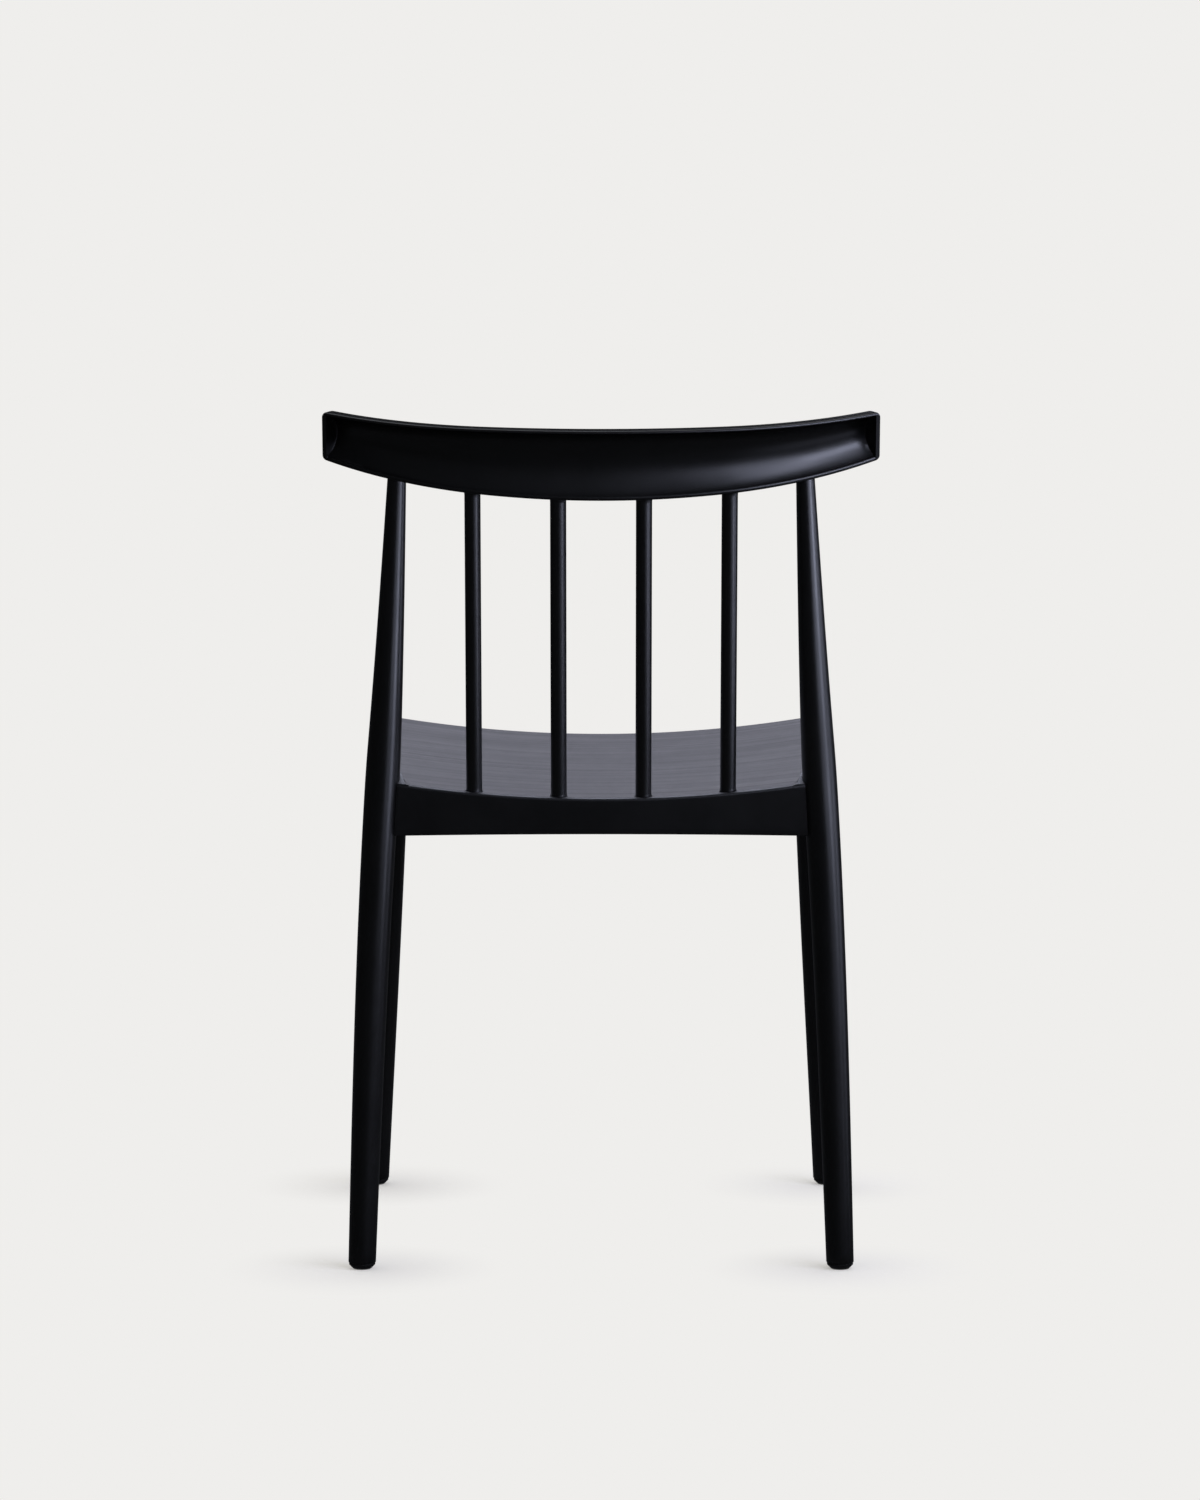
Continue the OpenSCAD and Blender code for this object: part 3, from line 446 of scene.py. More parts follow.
outline = make_outline()
ahead, behind = np.roll(outline, -1, 0), np.roll(outline, 1, 0)
outward = np.array([unit([d[1], -d[0]]) for d in ahead - behind])
seat_middle = np.array([0, (SEAT_FRONT_Y + SEAT_REAR_Y) / 2])


def loop(inset, height):
    """Ring of the outline, drawn in by inset and at the height given by a function of the point."""
    ring = []
    for p, n in zip(outline, outward):
        q = p - inset * n
        ring.append(np.array([q[0], q[1], height(q)]))
    return ring


def shrunk_loop(share, drawn_in, height):
    """Ring of the outline, drawn in by a function of the point and shrunk about the seat's middle."""
    ring = []
    for p, n in zip(outline, outward):
        q = seat_middle + share * (p - drawn_in(p) * n - seat_middle)
        ring.append(np.array([q[0], q[1], height(q)]))
    return ring


def seat_body():
    """The seat as a full solid: skirt, rolled edge and dished top."""

    def side_z(share):
        """Height of a place on the side, between the skirt's lower edge and the rolled edge."""
        return lambda q: (
            (1 - share) * (skirt_z(q) + EDGE_BREAK) + share * (seat_top(q) - edge_round(q[1]))
        )

    floor_inset = 6
    rings = [loop(floor_inset, skirt_z)]
    for a in (90, 60, 30, 0):
        s, c = sin_cos(a)
        rings.append(
            loop(EDGE_BREAK * (1 - c), lambda q, s=s: skirt_z(q) + EDGE_BREAK - EDGE_BREAK * s)
        )
    rings += [loop(0, side_z(share)) for share in (0.15, 0.5, 0.85)]
    for a in np.linspace(0, 90, 13):
        s, c = sin_cos(a)
        ring = []
        for p, n in zip(outline, outward):
            r = edge_round(p[1])
            q = p - r * (1 - c) * n
            ring.append(np.array([q[0], q[1], seat_top(q) - r * (1 - s)]))
        rings.append(ring)
    for share in np.linspace(0.97, 0.05, 20):
        rings.append(shrunk_loop(share, lambda p: edge_round(p[1]), seat_top))
    low = np.array([0, seat_middle[1], skirt_z(seat_middle)])
    high = np.array([0, seat_middle[1], seat_top(seat_middle)])
    return skin("seat_skin", rings, low, high)


def seat_cavity():
    """What is hollow under the seat, before the ribs and bosses are left in it."""
    below = 3

    def ceiling(q):
        return seat_top(q) - PANEL_T

    rings = [
        loop(SKIRT_T - SKIRT_CHAMFER, lambda q: skirt_z(q) - below),
        loop(SKIRT_T - SKIRT_CHAMFER, skirt_z),
        loop(SKIRT_T, lambda q: skirt_z(q) + SKIRT_CHAMFER),
    ]
    for a in np.linspace(0, 90, 7):
        s, c = sin_cos(a)
        inset = SKIRT_T + CAVITY_ROUND * (1 - c)
        rings.append(loop(inset, lambda q, s=s: ceiling(q) - CAVITY_ROUND * (1 - s)))
    for share in np.linspace(0.92, 0.08, 12):
        rings.append(shrunk_loop(share, lambda p: SKIRT_T + CAVITY_ROUND, ceiling))
    low = np.array([0, seat_middle[1], skirt_z(seat_middle) - below])
    high = np.array([0, seat_middle[1], ceiling(seat_middle)])
    return skin("seat_cavity", rings, low, high)


leg_at_seat = rear_centre(SEAT_H)
collar_base = seat_top(leg_at_seat[:2] - [rear_d(SEAT_H) / 2, 0])
collar_top = collar_base + COLLAR_H


def collar_flare(t):
    return COLLAR_LIP + (COLLAR_W - COLLAR_LIP) * (1 - math.sqrt(1 - (1 - t) ** 2))


def make_collar(flip):
    """The flare round a rear leg, kept within the seat's outline and cut by a sloping facet."""

    def ring(z, leg_d, reach):
        radius = leg_d / 2 + JOINT_GAP + reach
        return ring_round(rear_centre(z), rear_direction(z), radius, FINE_SIDES)

    steps, crowding = 18, 1.8
    low = collar_base - COLLAR_SUNK
    rings = [ring(low, rear_d(collar_base), COLLAR_W)]
    for i in range(steps + 1):
        t = (i / steps) ** crowding
        z = collar_base + COLLAR_H * t
        rings.append(ring(z, rear_d(z), collar_flare(t)))
    collar = skin("collar", rings, rear_centre(low), rear_centre(collar_top), flip=flip)
    levels = SEAT_H - 30, SEAT_H + 90
    wall = [[np.array([*(p - JOINT_GAP * n), z]) for p, n in zip(outline, outward)] for z in levels]
    wall_ends = [np.array([0, 0, z]) for z in levels]
    combine(collar, skin("outline_wall", wall, *wall_ends), "INTERSECT")
    # the facet slopes up and forward from the seat's rear edge
    edge = rear_edge(REAR_SEAT_W / 2)
    z, reach = seat_top(edge) - REAR_ROUND / 2, 85
    rise = COLLAR_SLOPE * reach
    corners = (-reach, -reach), (reach, -reach), (reach, -rise), (-reach, rise)
    sides = -SEAT_REAR_W, SEAT_REAR_W
    facet = [[np.array([x, edge[1] + y, z + h]) for y, h in corners] for x in sides]
    facet_ends = [np.array([x, edge[1], z - reach / 2]) for x in sides]
    return combine(collar, skin("facet", facet, *facet_ends), "INTERSECT")


front_foot = np.array([FRONT_FOOT_W / 2, SEAT_FRONT_Y + FRONT_FOOT_IN, 0])
joint_xy = np.array([SEAT_FRONT_W / 2 - FRONT_SIDE_IN, SEAT_FRONT_Y + FRONT_TOP_IN])
front_joint = np.array([*joint_xy, skirt_z(joint_xy) + FRONT_LET_IN])
front_direction = unit(front_joint - front_foot)


def front_centre(z):
    return front_foot + (front_joint - front_foot) * (z / front_joint[2])


bolts_up = BOLT_HEAD_D / 2 + BOLT_MARGIN + BOLT_PITCH / 2
rear_block_low = skirt_z(leg_at_seat) + BLOCK_LOW
rear_bolt_middle = rear_centre(rear_block_low + bolts_up)
rear_face = rear_d(rear_bolt_middle[2]) / 2 + JOINT_GAP + BOLT_WALL
front_bolt_middle = front_centre(front_joint[2] + bolts_up)
front_face = SPIGOT_D / 2 + FIT_GAP + BOLT_WALL

spindle_xs = [k * SPINDLE_PITCH for k in (1.5, 0.5, -0.5, -1.5)]


def spindle_line(x):
    """Foot on the seat's surface, direction to the rail, and length from foot to rail."""
    p = rear_edge(x) - [0, SPINDLE_IN]
    foot = np.array([p[0], p[1], seat_top(p)])
    line = rail_under(x) - foot
    return foot, unit(line), np.linalg.norm(line)


def seat_ribs(cavity):
    """Takes the ribs, corner blocks and bosses out of the cavity, so that they stay in the seat."""

    def keep(tool):
        combine(cavity, tool, "DIFFERENCE")

    half = RIB_T / 2
    slope = math.atan2(SEAT_RISE, SEAT_DEPTH)
    rib_root = Matrix.Translation((0, SEAT_REAR_Y * MM, (SEAT_H - PANEL_T - RIB_H) * MM))
    for i in (-2, -1, 0, 1, 2):
        x = i * RIB_PITCH_X
        rib = block("rib", (x - half, -SEAT_DEPTH, 0), (x + half, SEAT_DEPTH, REACH))
        rib.data.transform(Matrix.Rotation(-slope, 4, "X"))
        rib.data.transform(rib_root)
        keep(rib)
    for i in (-1.5, -0.5, 0.5, 1.5):
        y = seat_middle[1] + i * RIB_PITCH_Y
        z = seat_line(y) - PANEL_T - RIB_H
        keep(block("rib", (-SEAT_FRONT_W / 2, y - half, z), (SEAT_FRONT_W / 2, y + half, z + REACH)))
    spigot_r = SPIGOT_D / 2 + FIT_GAP + SPIGOT_WALL
    pad = (WASHER_D + PAD_EXTRA) / 2
    for side, rear_turn, front_turn in ((1, 45, -45), (-1, 135, 225)):
        at = rear_bolt_middle * [side, 1, 0] + [0, 0, rear_block_low]
        low, high = (-rear_face, -BLOCK_HALF, 0), (0, BLOCK_HALF, REACH)
        keep(block("corner_block", low, high, rear_turn, at))
        at, lean = front_joint * [side, 1, 1], front_direction * [side, 1, 1]
        keep(turned("boss", at - SPIGOT_SUNK * lean, lean, [(0, spigot_r), (REACH, spigot_r)]))
        at = front_bolt_middle * [side, 1, 0] + [0, 0, front_joint[2] - PAD_SUNK]
        keep(block("pad", (-front_face, -pad, 0), (0, pad, REACH), front_turn, at))
        x, y, z = front_joint * [side, 1, 1]
        keep(block("web", (x - half, SEAT_FRONT_Y, z), (x + half, SEAT_REAR_Y, z + REACH)))
        keep(block("web", (x - WEB_HALF, y - half, z), (x + WEB_HALF, y + half, z + REACH)))
    radius = SPINDLE_PEG_D / 2 + FIT_GAP + BOSS_WALL
    depth = SPINDLE_PEG_L + FIT_GAP + BOSS_FLOOR
    for x in spindle_xs:
        foot, direction, _ = spindle_line(x)
        top = foot - SEAT_LET_IN * direction
        keep(turned("boss", top, -direction, [(0, radius), (depth, radius)]))
    return cavity


def unit_rows(v):
    return v / np.linalg.norm(v, axis=1)[:, None]


def from_edge(xy):
    """How far points lie in from the outline, and which way is outward at its nearest place."""
    edge = np.roll(outline, -1, 0) - outline
    length2 = (edge**2).sum(1)
    best = np.full(len(xy), np.inf)
    out = np.zeros((len(xy), 2))
    for k in range(len(outline)):
        t = np.clip(((xy - outline[k]) @ edge[k]) / length2[k], 0, 1)
        away = xy - outline[k] - t[:, None] * edge[k]
        d = np.hypot(away[:, 0], away[:, 1])
        n = (1 - t)[:, None] * outward[k] + t[:, None] * outward[(k + 1) % len(outline)]
        closer = d < best
        best[closer] = d[closer]
        out[closer] = n[closer]
    return best, out


def dish_normal(x, y):
    """Normals of the dished top, without its edge."""
    slope_x = 2 * dish(y) * x
    slope_y = (-SEAT_RISE + 4 * SEAT_HOLLOW * (1 - 2 * seat_along(y))) / SEAT_DEPTH
    slope_y = slope_y + x**2 * (1 / (2 * DISH_REAR_R) - 1 / (2 * DISH_FRONT_R)) / SEAT_DEPTH
    return unit_rows(np.stack([-slope_x, -slope_y, np.ones(len(x))], 1))


def collar_at(p, side):
    """The collar at points: which of them it reaches, its height and its normal there."""
    flare_w, least_rise = COLLAR_W - COLLAR_LIP, 0.02
    centre = np.array([rear_centre(z) for z in p[:, 2]])[:, :2] * [side, 1]
    away = p[:, :2] - centre
    rho = np.hypot(away[:, 0], away[:, 1])
    w = rho - np.array([rear_d(z) for z in p[:, 2]]) / 2 - JOINT_GAP
    u = 1 - np.clip((w - COLLAR_LIP) / flare_w, 0, 1)
    height = collar_base + COLLAR_H * (1 - np.sqrt(1 - u**2))
    rise = (np.sqrt(1 - u**2) + least_rise) * (flare_w / COLLAR_H)
    normal = np.concatenate([u[:, None] * away / rho[:, None], rise[:, None]], 1)
    return w < COLLAR_W, height, unit_rows(normal)


def seat_normal(p):
    """The true normal of the seat's upper surface, rolled edge and collars at points near it.

    Returns the normals, and how far each point is from that surface.
    """
    x, y, z = p.T
    inset, out = from_edge(p[:, :2])
    r = edge_round(y)
    c = np.clip((r - inset) / r, 0, 1)
    s = np.sqrt(1 - c * c)
    out3 = np.concatenate([out, np.zeros((len(p), 1))], 1)
    normal = c[:, None] * out3 + s[:, None] * dish_normal(x, y)
    top = seat_top((x, y)) - r * (1 - s)
    for side in (1, -1):
        reached, height, collar = collar_at(p, side)
        on = reached & (height > top)
        top = np.where(on, height, top)
        normal[on] = collar[on]
    return unit_rows(normal), np.abs(z - top)


def smooth_seat(obj):
    """Gives the seat's upper surface its true normals, whatever way the cuts have split it."""
    near, same_way = 0.12, 0.8
    mesh = obj.data
    mesh.polygons.foreach_set("use_smooth", [True] * len(mesh.polygons))
    mesh.set_sharp_from_angle(angle=math.radians(30))
    points = np.zeros(len(mesh.vertices) * 3)
    mesh.vertices.foreach_get("co", points)
    normal, off = seat_normal(points.reshape(-1, 3) / MM)
    corner = np.zeros(len(mesh.loops) * 3, np.float32)
    mesh.corner_normals.foreach_get("vector", corner)
    corner = corner.reshape(-1, 3)
    vertex = np.zeros(len(mesh.loops), np.int32)
    mesh.loops.foreach_get("vertex_index", vertex)
    face_normal = np.zeros((len(mesh.loops), 3), np.float32)
    for f in mesh.polygons:
        face_normal[f.loop_start : f.loop_start + f.loop_total] = f.normal
    wanted = normal[vertex]
    use = (off[vertex] < near) & ((face_normal * wanted).sum(1) > same_way)
    corner[use] = wanted[use]
    mesh.normals_split_custom_set([tuple(n) for n in corner])


def seat_socket(seat, floor, direction, radius, length):
    """Cuts a round socket out of the seat, from its floor outwards."""
    tool = turned("socket", floor, direction, [(0, radius), (length, radius)])
    combine(seat, tool, "DIFFERENCE")


def make_seat():
    seat = seat_body()
    for flip in (False, True):
        combine(seat, make_collar(flip), "UNION")
    combine(seat, seat_ribs(seat_cavity()), "DIFFERENCE")
    beyond = 12
    low, high = SEAT_H - SKIRT_DROP - beyond, collar_top + beyond
    for side in (1, -1):
        rings = rear_rings(low, high, steps=12, grow=JOINT_GAP, sides=FINE_SIDES)
        notch = skin("notch", rings, rear_centre(low), rear_centre(high), flip=side < 0)
        combine(seat, notch, "DIFFERENCE")
        at, lean = front_joint * [side, 1, 1], front_direction * [side, 1, 1]
        seat_socket(seat, at, -lean, FRONT_TOP_D / 2 + JOINT_GAP, 30)
    for x in spindle_xs:
        foot, direction, _ = spindle_line(x)
        floor = foot - SEAT_LET_IN * direction
        seat_socket(seat, floor, direction, SPINDLE_FLARE_D / 2 + FIT_GAP, 20)
    smooth_seat(seat)
    return seat


# ---------------------------------------------------------------- front legs, spindles, glides


def front_d(z):
    grown = math.sin(math.pi / 2 * (z / front_joint[2]) ** FRONT_SWELL)
    return FRONT_FOOT_D + (FRONT_TOP_D - FRONT_FOOT_D) * grown


def make_front_leg(name, flip):
    rings = []
    for up, inset in FOOT_RINGS:
        z = GLIDE_H + up
        rings.append(ring_round(front_centre(z), UP, front_d(z) / 2 - inset))
    for z in np.linspace(GLIDE_H + FOOT_SOFT, front_joint[2], 60):
        direction = UP if z < GLIDE_H + FOOT_STRAIGHT else front_direction
        rings.append(ring_round(front_centre(z), direction, front_d(z) / 2))
    return skin(name, rings, front_centre(GLIDE_H), front_joint, LEG_SHARP, flip)


def make_spindle(name, x):
    foot, direction, length = spindle_line(x)
    low, high = -SEAT_LET_IN, length + RAIL_LET_IN
    lower = []
    for t in np.linspace(0, 1, 9):
        r = SPINDLE_D / 2 + (SPINDLE_FLARE_D - SPINDLE_D) / 2 * (1 - t) ** 2
        lower.append((low + SPINDLE_FLARE_L * t, r))
    upper = [(high - s + low, r) for s, r in lower[::-1]]
    end = SPINDLE_FLARE_L + 8  # the plain stretch between the flares starts here
    middle = [(s, SPINDLE_D / 2) for s in np.linspace(low + end, high - end, 24)]
    return turned(name, foot, direction, lower + middle + upper, 48, LEG_SHARP)


def make_glide(name, centre):
    """A plug-in foot: a rounded cap that narrows to the floor."""
    edge, fine_edge = 1.4, 0.25
    foot_r, full_r = GLIDE_FLOOR_D / 2, GLIDE_D / 2
    cone_low, cone_r = 0.6, foot_r + 0.2
    profile = [(0, foot_r - 0.8), (0.15, foot_r - fine_edge), (cone_low, cone_r)]
    # the cone rises to where the edge's round starts, 60 degrees down
    sin_60, cos_60 = 0.866, 0.5
    top, top_r = GLIDE_H - edge - edge * sin_60, full_r - edge * cos_60
    for t in (0.25, 0.5, 0.75):
        profile.append((cone_low + (top - cone_low) * t, cone_r + (top_r - cone_r) * t))
    for a in np.radians(np.linspace(-60, 0, 6)):
        profile.append((GLIDE_H - edge + edge * math.sin(a), full_r - edge * (1 - math.cos(a))))
    profile += [(GLIDE_H - fine_edge, full_r), (GLIDE_H, full_r - fine_edge)]
    return turned(name, (centre[0], centre[1], 0), UP, profile, sharp=LEG_SHARP)


# ---------------------------------------------------------------- materials


class Nodes:
    """A material or world being wired up."""

    def __init__(self, tree):
        self.tree = tree
        tree.nodes.clear()

    def add(self, kind, inputs=None, **settings):
        node = self.tree.nodes.new(kind)
        for name, value in settings.items():
            setattr(node, name, value)
        for name, value in (inputs or {}).items():
            socket = node.inputs[name]
            if isinstance(value, bpy.types.NodeSocket):
                self.tree.links.new(value, socket)
            else:
                socket.default_value = value
        return node

    def calc(self, operation, a, b):
        return self.add("ShaderNodeMath", {0: a, 1: b}, operation=operation).outputs[0]

    def ramp(self, value, low, high, to_low, to_high, shape="LINEAR"):
        return self.add(
            "ShaderNodeMapRange",
            {"Value": value, "From Min": low, "From Max": high, "To Min": to_low, "To Max": to_high},
            interpolation_type=shape,
        ).outputs["Result"]

    def noise(self, place, scale, detail, roughness=0.5):
        inputs = {"Vector": place, "Scale": scale, "Detail": detail, "Roughness": roughness}
        return self.add("ShaderNodeTexNoise", inputs).outputs["Fac"]

    def blend(self, factor, a, b):
        inputs = {"Factor": factor, "A": a, "B": b}
        return self.add("ShaderNodeMix", inputs, data_type="RGBA").outputs["Result"]

    def place(self):
        return self.add("ShaderNodeTexCoord").outputs["Object"]


def new_material(name):
    material = bpy.data.materials.new(name)
    material.use_nodes = True
    return material, Nodes(material.node_tree)


def tinted(value, tint):
    return tuple(value * t for t in tint) + (1,)


COOL = (0.93, 0.98, 1.12)
MOST = 0.3, 0.7  # the range that most values of a noise lie in

# change of roughness in slow waves and in patches, and the patches' share of the grain's depth
WAVE_GLOSS, PATCH_GLOSS, PATCH_GRAIN = 0.02, 0.01, 0.4
# the seat's lines: (scale from side to side, scale from front to back, strength), and the depth in
# metres and the change of roughness at full strength
SEAT_LINES = (1.5, 60.0, 1.0), (4.0, 130.0, 0.7)
LINE_DEPTH, LINE_GLOSS = 0.00022, 0.045


def plastic(name, dark, light, rough, grain_depth, seat_lines=False):
    """Satin moulded plastic: mould grain, slow waves in gloss, and on the seat fine lines across."""
    material, n = new_material(name)
    place = n.place()
    slow = n.noise(place, 22.0, 3.0, 0.55)
    patch = n.noise(place, 140.0, 2.0)
    fine = n.noise(place, 420.0, 2.0)
    colour = n.blend(slow, tinted(dark, COOL), tinted(light, COOL))
    waves = n.ramp(slow, *MOST, rough - WAVE_GLOSS, rough + WAVE_GLOSS)
    gloss = n.calc("ADD", waves, n.ramp(patch, *MOST, -PATCH_GLOSS, PATCH_GLOSS))
    grain = n.ramp(fine, 0, 1, 0, grain_depth)
    height = n.calc("ADD", grain, n.ramp(patch, 0, 1, 0, grain_depth * PATCH_GRAIN))
    if seat_lines:
        depths = []
        for across, along, strength in SEAT_LINES:
            stretched = n.add("ShaderNodeMapping", {"Vector": place, "Scale": (across, along, 0.0)})
            line = n.noise(stretched.outputs[0], 1.0, 2.5, 0.6)
            depths.append(n.ramp(line, 0.25, 0.75, 0, LINE_DEPTH * strength))
            polish = LINE_GLOSS * strength
            gloss = n.calc("ADD", gloss, n.ramp(line, *MOST, -polish, polish))
        normal = n.add("ShaderNodeNewGeometry").outputs["Normal"]
        facing = n.add("ShaderNodeSeparateXYZ", {0: normal})
        upward = n.ramp(facing.outputs["Z"], 0.8, 0.97, 0, 1)
        lines = n.calc("MULTIPLY", n.calc("ADD", *depths), upward)
        height = n.calc("ADD", height, lines)
    bump = n.add("ShaderNodeBump", {"Strength": 1.0, "Distance": 1.0, "Height": height})
    shader = n.add(
        "ShaderNodeBsdfPrincipled",
        {"Base Color": colour, "Roughness": gloss, "Normal": bump.outputs[0], "IOR": 1.5},
    )
    n.add("ShaderNodeOutputMaterial", {"Surface": shader.outputs[0]})
    return material


def metal(name, colour, rough):
    """Turned or plated metal, with marks drawn round it."""
    material, n = new_material(name)
    place = n.place()
    marks = n.add("ShaderNodeMapping", {"Vector": place, "Scale": (300, 300, 40)})
    scratch = n.noise(marks.outputs[0], 4.0, 3.0)
    tone = n.blend(n.noise(place, 180.0, 2.0), tinted(0.88, colour), tinted(1, colour))
    bump = n.add("ShaderNodeBump", {"Strength": 0.3, "Distance": 0.0001, "Height": scratch})
    shader = n.add(
        "ShaderNodeBsdfPrincipled",
        {
            "Base Color": tone,
            "Metallic": 1.0,
            "Roughness": n.ramp(scratch, *MOST, rough - 0.06, rough + 0.06),
            "Normal": bump.outputs[0],
        },
    )
    n.add("ShaderNodeOutputMaterial", {"Surface": shader.outputs[0]})
    return material


# ---------------------------------------------------------------- dress the chair

skins = {}


def dress(obj, node, material):
    """Puts a skin over a node's solid."""
    obj.data.materials.clear()
    obj.data.materials.append(material)
    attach(obj, "root")
    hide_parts(node)
    skins[node] = obj


# the darkest and the lightest grey, the roughness and the depth of the grain in metres
black = plastic("black_plastic", 0.0009, 0.0016, 0.32, 0.000002)
seat_black = plastic("seat_plastic", 0.001, 0.0018, 0.38, 0.000003, seat_lines=True)
glide_black = plastic("glide_plastic", 0.0012, 0.002, 0.48, 0.000003)
zinc = metal("zinc_steel", (0.62, 0.63, 0.65), 0.3)
brass = metal("brass", (0.72, 0.56, 0.27), 0.32)

dress(make_rail(), "crest_rail", black)
dress(make_seat(), "seat", seat_black)
for side, flip in (("left", False), ("right", True)):
    for node, make in ((f"rear_leg_{side}", make_rear_leg), (f"front_leg_{side}", make_front_leg)):
        dress(make(f"{node}_skin", flip), node, black)
    for end, centre in (("rear", rear_centre(GLIDE_H)), ("front", front_centre(GLIDE_H))):
        node, at = f"glide_{end}_{side}", centre * FLIP if flip else centre
        dress(make_glide(f"{node}_skin", at), node, glide_black)
for place, x in zip(("outer_left", "inner_left", "inner_right", "outer_right"), spindle_xs):
    dress(make_spindle(f"spindle_{place}_skin", x), f"spindle_{place}", black)

for node, material in (
    ("leg_bolts", zinc),
    ("leg_washers", zinc),
    ("spindle_screws", zinc),
    ("leg_inserts", brass),
):
    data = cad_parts[node].data
    data.materials.clear()
    data.materials.append(material)


# ---------------------------------------------------------------- studio, in metres

PALE = (0.8632, 0.8550, 0.8388, 1)  # the photograph's background
FILL, FILL_STRENGTH = (1.0, 0.97, 0.9, 1), 0.61
FLOOR, FLOOR_R = (0.82, 0.806, 0.775, 1), 3.2
FOOT_AT = (0.227, 0.2285, 0)  # about where each foot stands, on either side of both axes
SHADOW_R, SHADOW_SHARE = 0.14, 0.62  # how far round a foot the floor shows its shadow, and how much
FLAG_R, FLOOR_FLAG_R = 7000, 3300  # in millimetres
LAMP_MIDDLE_Y = 0.1  # the upright lamps stand round this place


def seen_rays(n):
    """1 for rays that show the background: from the camera, off gloss, or through glass."""
    path = n.add("ShaderNodeLightPath").outputs
    first = n.calc("MAXIMUM", path["Is Camera Ray"], path["Is Glossy Ray"])
    return n.calc("MAXIMUM", first, path["Is Transmission Ray"])


def make_world():
    world = bpy.data.worlds.new("studio")
    world.use_nodes = True
    n = Nodes(world.node_tree)
    shown = n.add("ShaderNodeBackground", {"Color": PALE, "Strength": 1.0})
    fill = n.add("ShaderNodeBackground", {"Color": FILL, "Strength": FILL_STRENGTH})
    mix = n.add("ShaderNodeMixShader", {0: seen_rays(n), 1: fill.outputs[0], 2: shown.outputs[0]})
    n.add("ShaderNodeOutputWorld", {"Surface": mix.outputs[0]})
    # found by the rays alone, so that the flags hide it from gloss
    world.cycles.sampling_method = "NONE"
    bpy.context.scene.world = world


def make_floor():
    """A pale floor that keeps the chair's shadow and fades into the backdrop.

    It is clear from below.
    """
    sides = 128
    points = [(0, 0, 0)] + [
        (FLOOR_R * math.cos(a) / MM, FLOOR_R * math.sin(a) / MM, 0)
        for a in np.linspace(0, 2 * math.pi, sides, endpoint=False)
    ]
    faces = [(0, 1 + k, 1 + (k + 1) % sides) for k in range(sides)]
    floor = add_mesh("floor", points, faces)
    material, n = new_material("floor")
    # the four feet stand at nearly the same distances from both axes, so one place serves for all
    fold = n.add("ShaderNodeVectorMath", {0: n.place()}, operation="ABSOLUTE").outputs["Vector"]
    foot = n.add("ShaderNodeVectorMath", {0: fold, 1: FOOT_AT}, operation="DISTANCE")
    near = n.ramp(foot.outputs["Value"], 0.0, SHADOW_R, SHADOW_SHARE, 0.0, "SMOOTHSTEP")
    lit = n.add("ShaderNodeBsdfDiffuse", {"Color": FLOOR})
    flat = n.add("ShaderNodeEmission", {"Color": PALE, "Strength": 1.0})
    share = n.calc("MULTIPLY", seen_rays(n), n.calc("SUBTRACT", 1.0, near))
    mix = n.add("ShaderNodeMixShader", {0: share, 1: lit.outputs[0], 2: flat.outputs[0]})
    below = n.add("ShaderNodeNewGeometry").outputs["Backfacing"]
    clear = n.add("ShaderNodeBsdfTransparent")
    both = n.add("ShaderNodeMixShader", {0: below, 1: mix.outputs[0], 2: clear.outputs[0]})
    n.add("ShaderNodeOutputMaterial", {"Surface": both.outputs[0]})
    floor.data.materials.append(material)
    return floor


def cloth(name, glow):
    """Black cloth with a faint painted glow in place of light it would catch: glow is the share of
    white it shows in gloss.
    """
    material, n = new_material(name)
    weave = n.noise(n.place(), 2.0, 2.0)
    shade = n.ramp(weave, *MOST, 0.8 * glow, 1.2 * glow)
    # painted light: the cloth emits its glow rather than catching the lamps' light
    lit = n.add("ShaderNodeEmission", {"Color": tinted(1, COOL), "Strength": shade})
    n.add("ShaderNodeOutputMaterial", {"Surface": lit.outputs[0]})
    return material


def hang(flag, material):
    """Hangs a flag of dark cloth that shows in gloss alone."""
    flag.data.materials.append(material)
    flag.visible_camera = False
    flag.visible_diffuse = False
    flag.visible_transmission = False
    flag.visible_shadow = False


def toward(bearing, rise=0):
    """Direction at a bearing, in degrees from +Y towards -X, and a rise above the floor."""
    b, r = math.radians(bearing), math.radians(rise)
    return np.array([-math.sin(b) * math.cos(r), math.cos(b) * math.cos(r), math.sin(r)])


def dome(name, bearings, rises):
    """Part of a sphere round the chair."""
    turns, steps = 64, 20
    points = [
        FLAG_R * toward(b, r)
        for r in np.linspace(*rises, steps + 1)
        for b in np.linspace(*bearings, turns + 1)
    ]
    faces = []
    for i in range(steps):
        for j in range(turns):
            k = i * (turns + 1) + j
            faces.append((k, k + 1, k + turns + 2, k + turns + 1))
    return add_mesh(name, points, faces)


def make_flags():
    """The dark side of the studio: round the chair, overhead and on the floor."""
    # each flag's glow is painted light: brighter on the camera side, and brighter on the right floor
    # where the windows stand than on the left
    black_cloth, grey_cloth = cloth("black_cloth", 0.02), cloth("grey_cloth", 0.06)
    hang(dome("flag_low", (-180, 180), (-60, 12)), cloth("low_cloth", 0.03))
    hang(dome("flag_sides", (60, 300), (12, 89)), black_cloth)
    hang(dome("flag_camera", (-60, 60), (12, 89)), grey_cloth)
    above, steps = [0, 0, 1], 48
    faces = [(0, k + 1, k) for k in range(1, steps + 1)]
    for side, start, end, glow in (("left", -165, 15, 0.045), ("right", 15, 195, 0.055)):
        bearings = np.linspace(start, end, steps + 1)
        points = [above] + [FLOOR_FLAG_R * toward(b) + above for b in bearings]
        hang(add_mesh(f"flag_floor_{side}", points, faces), cloth(f"floor_cloth_{side}", glow))


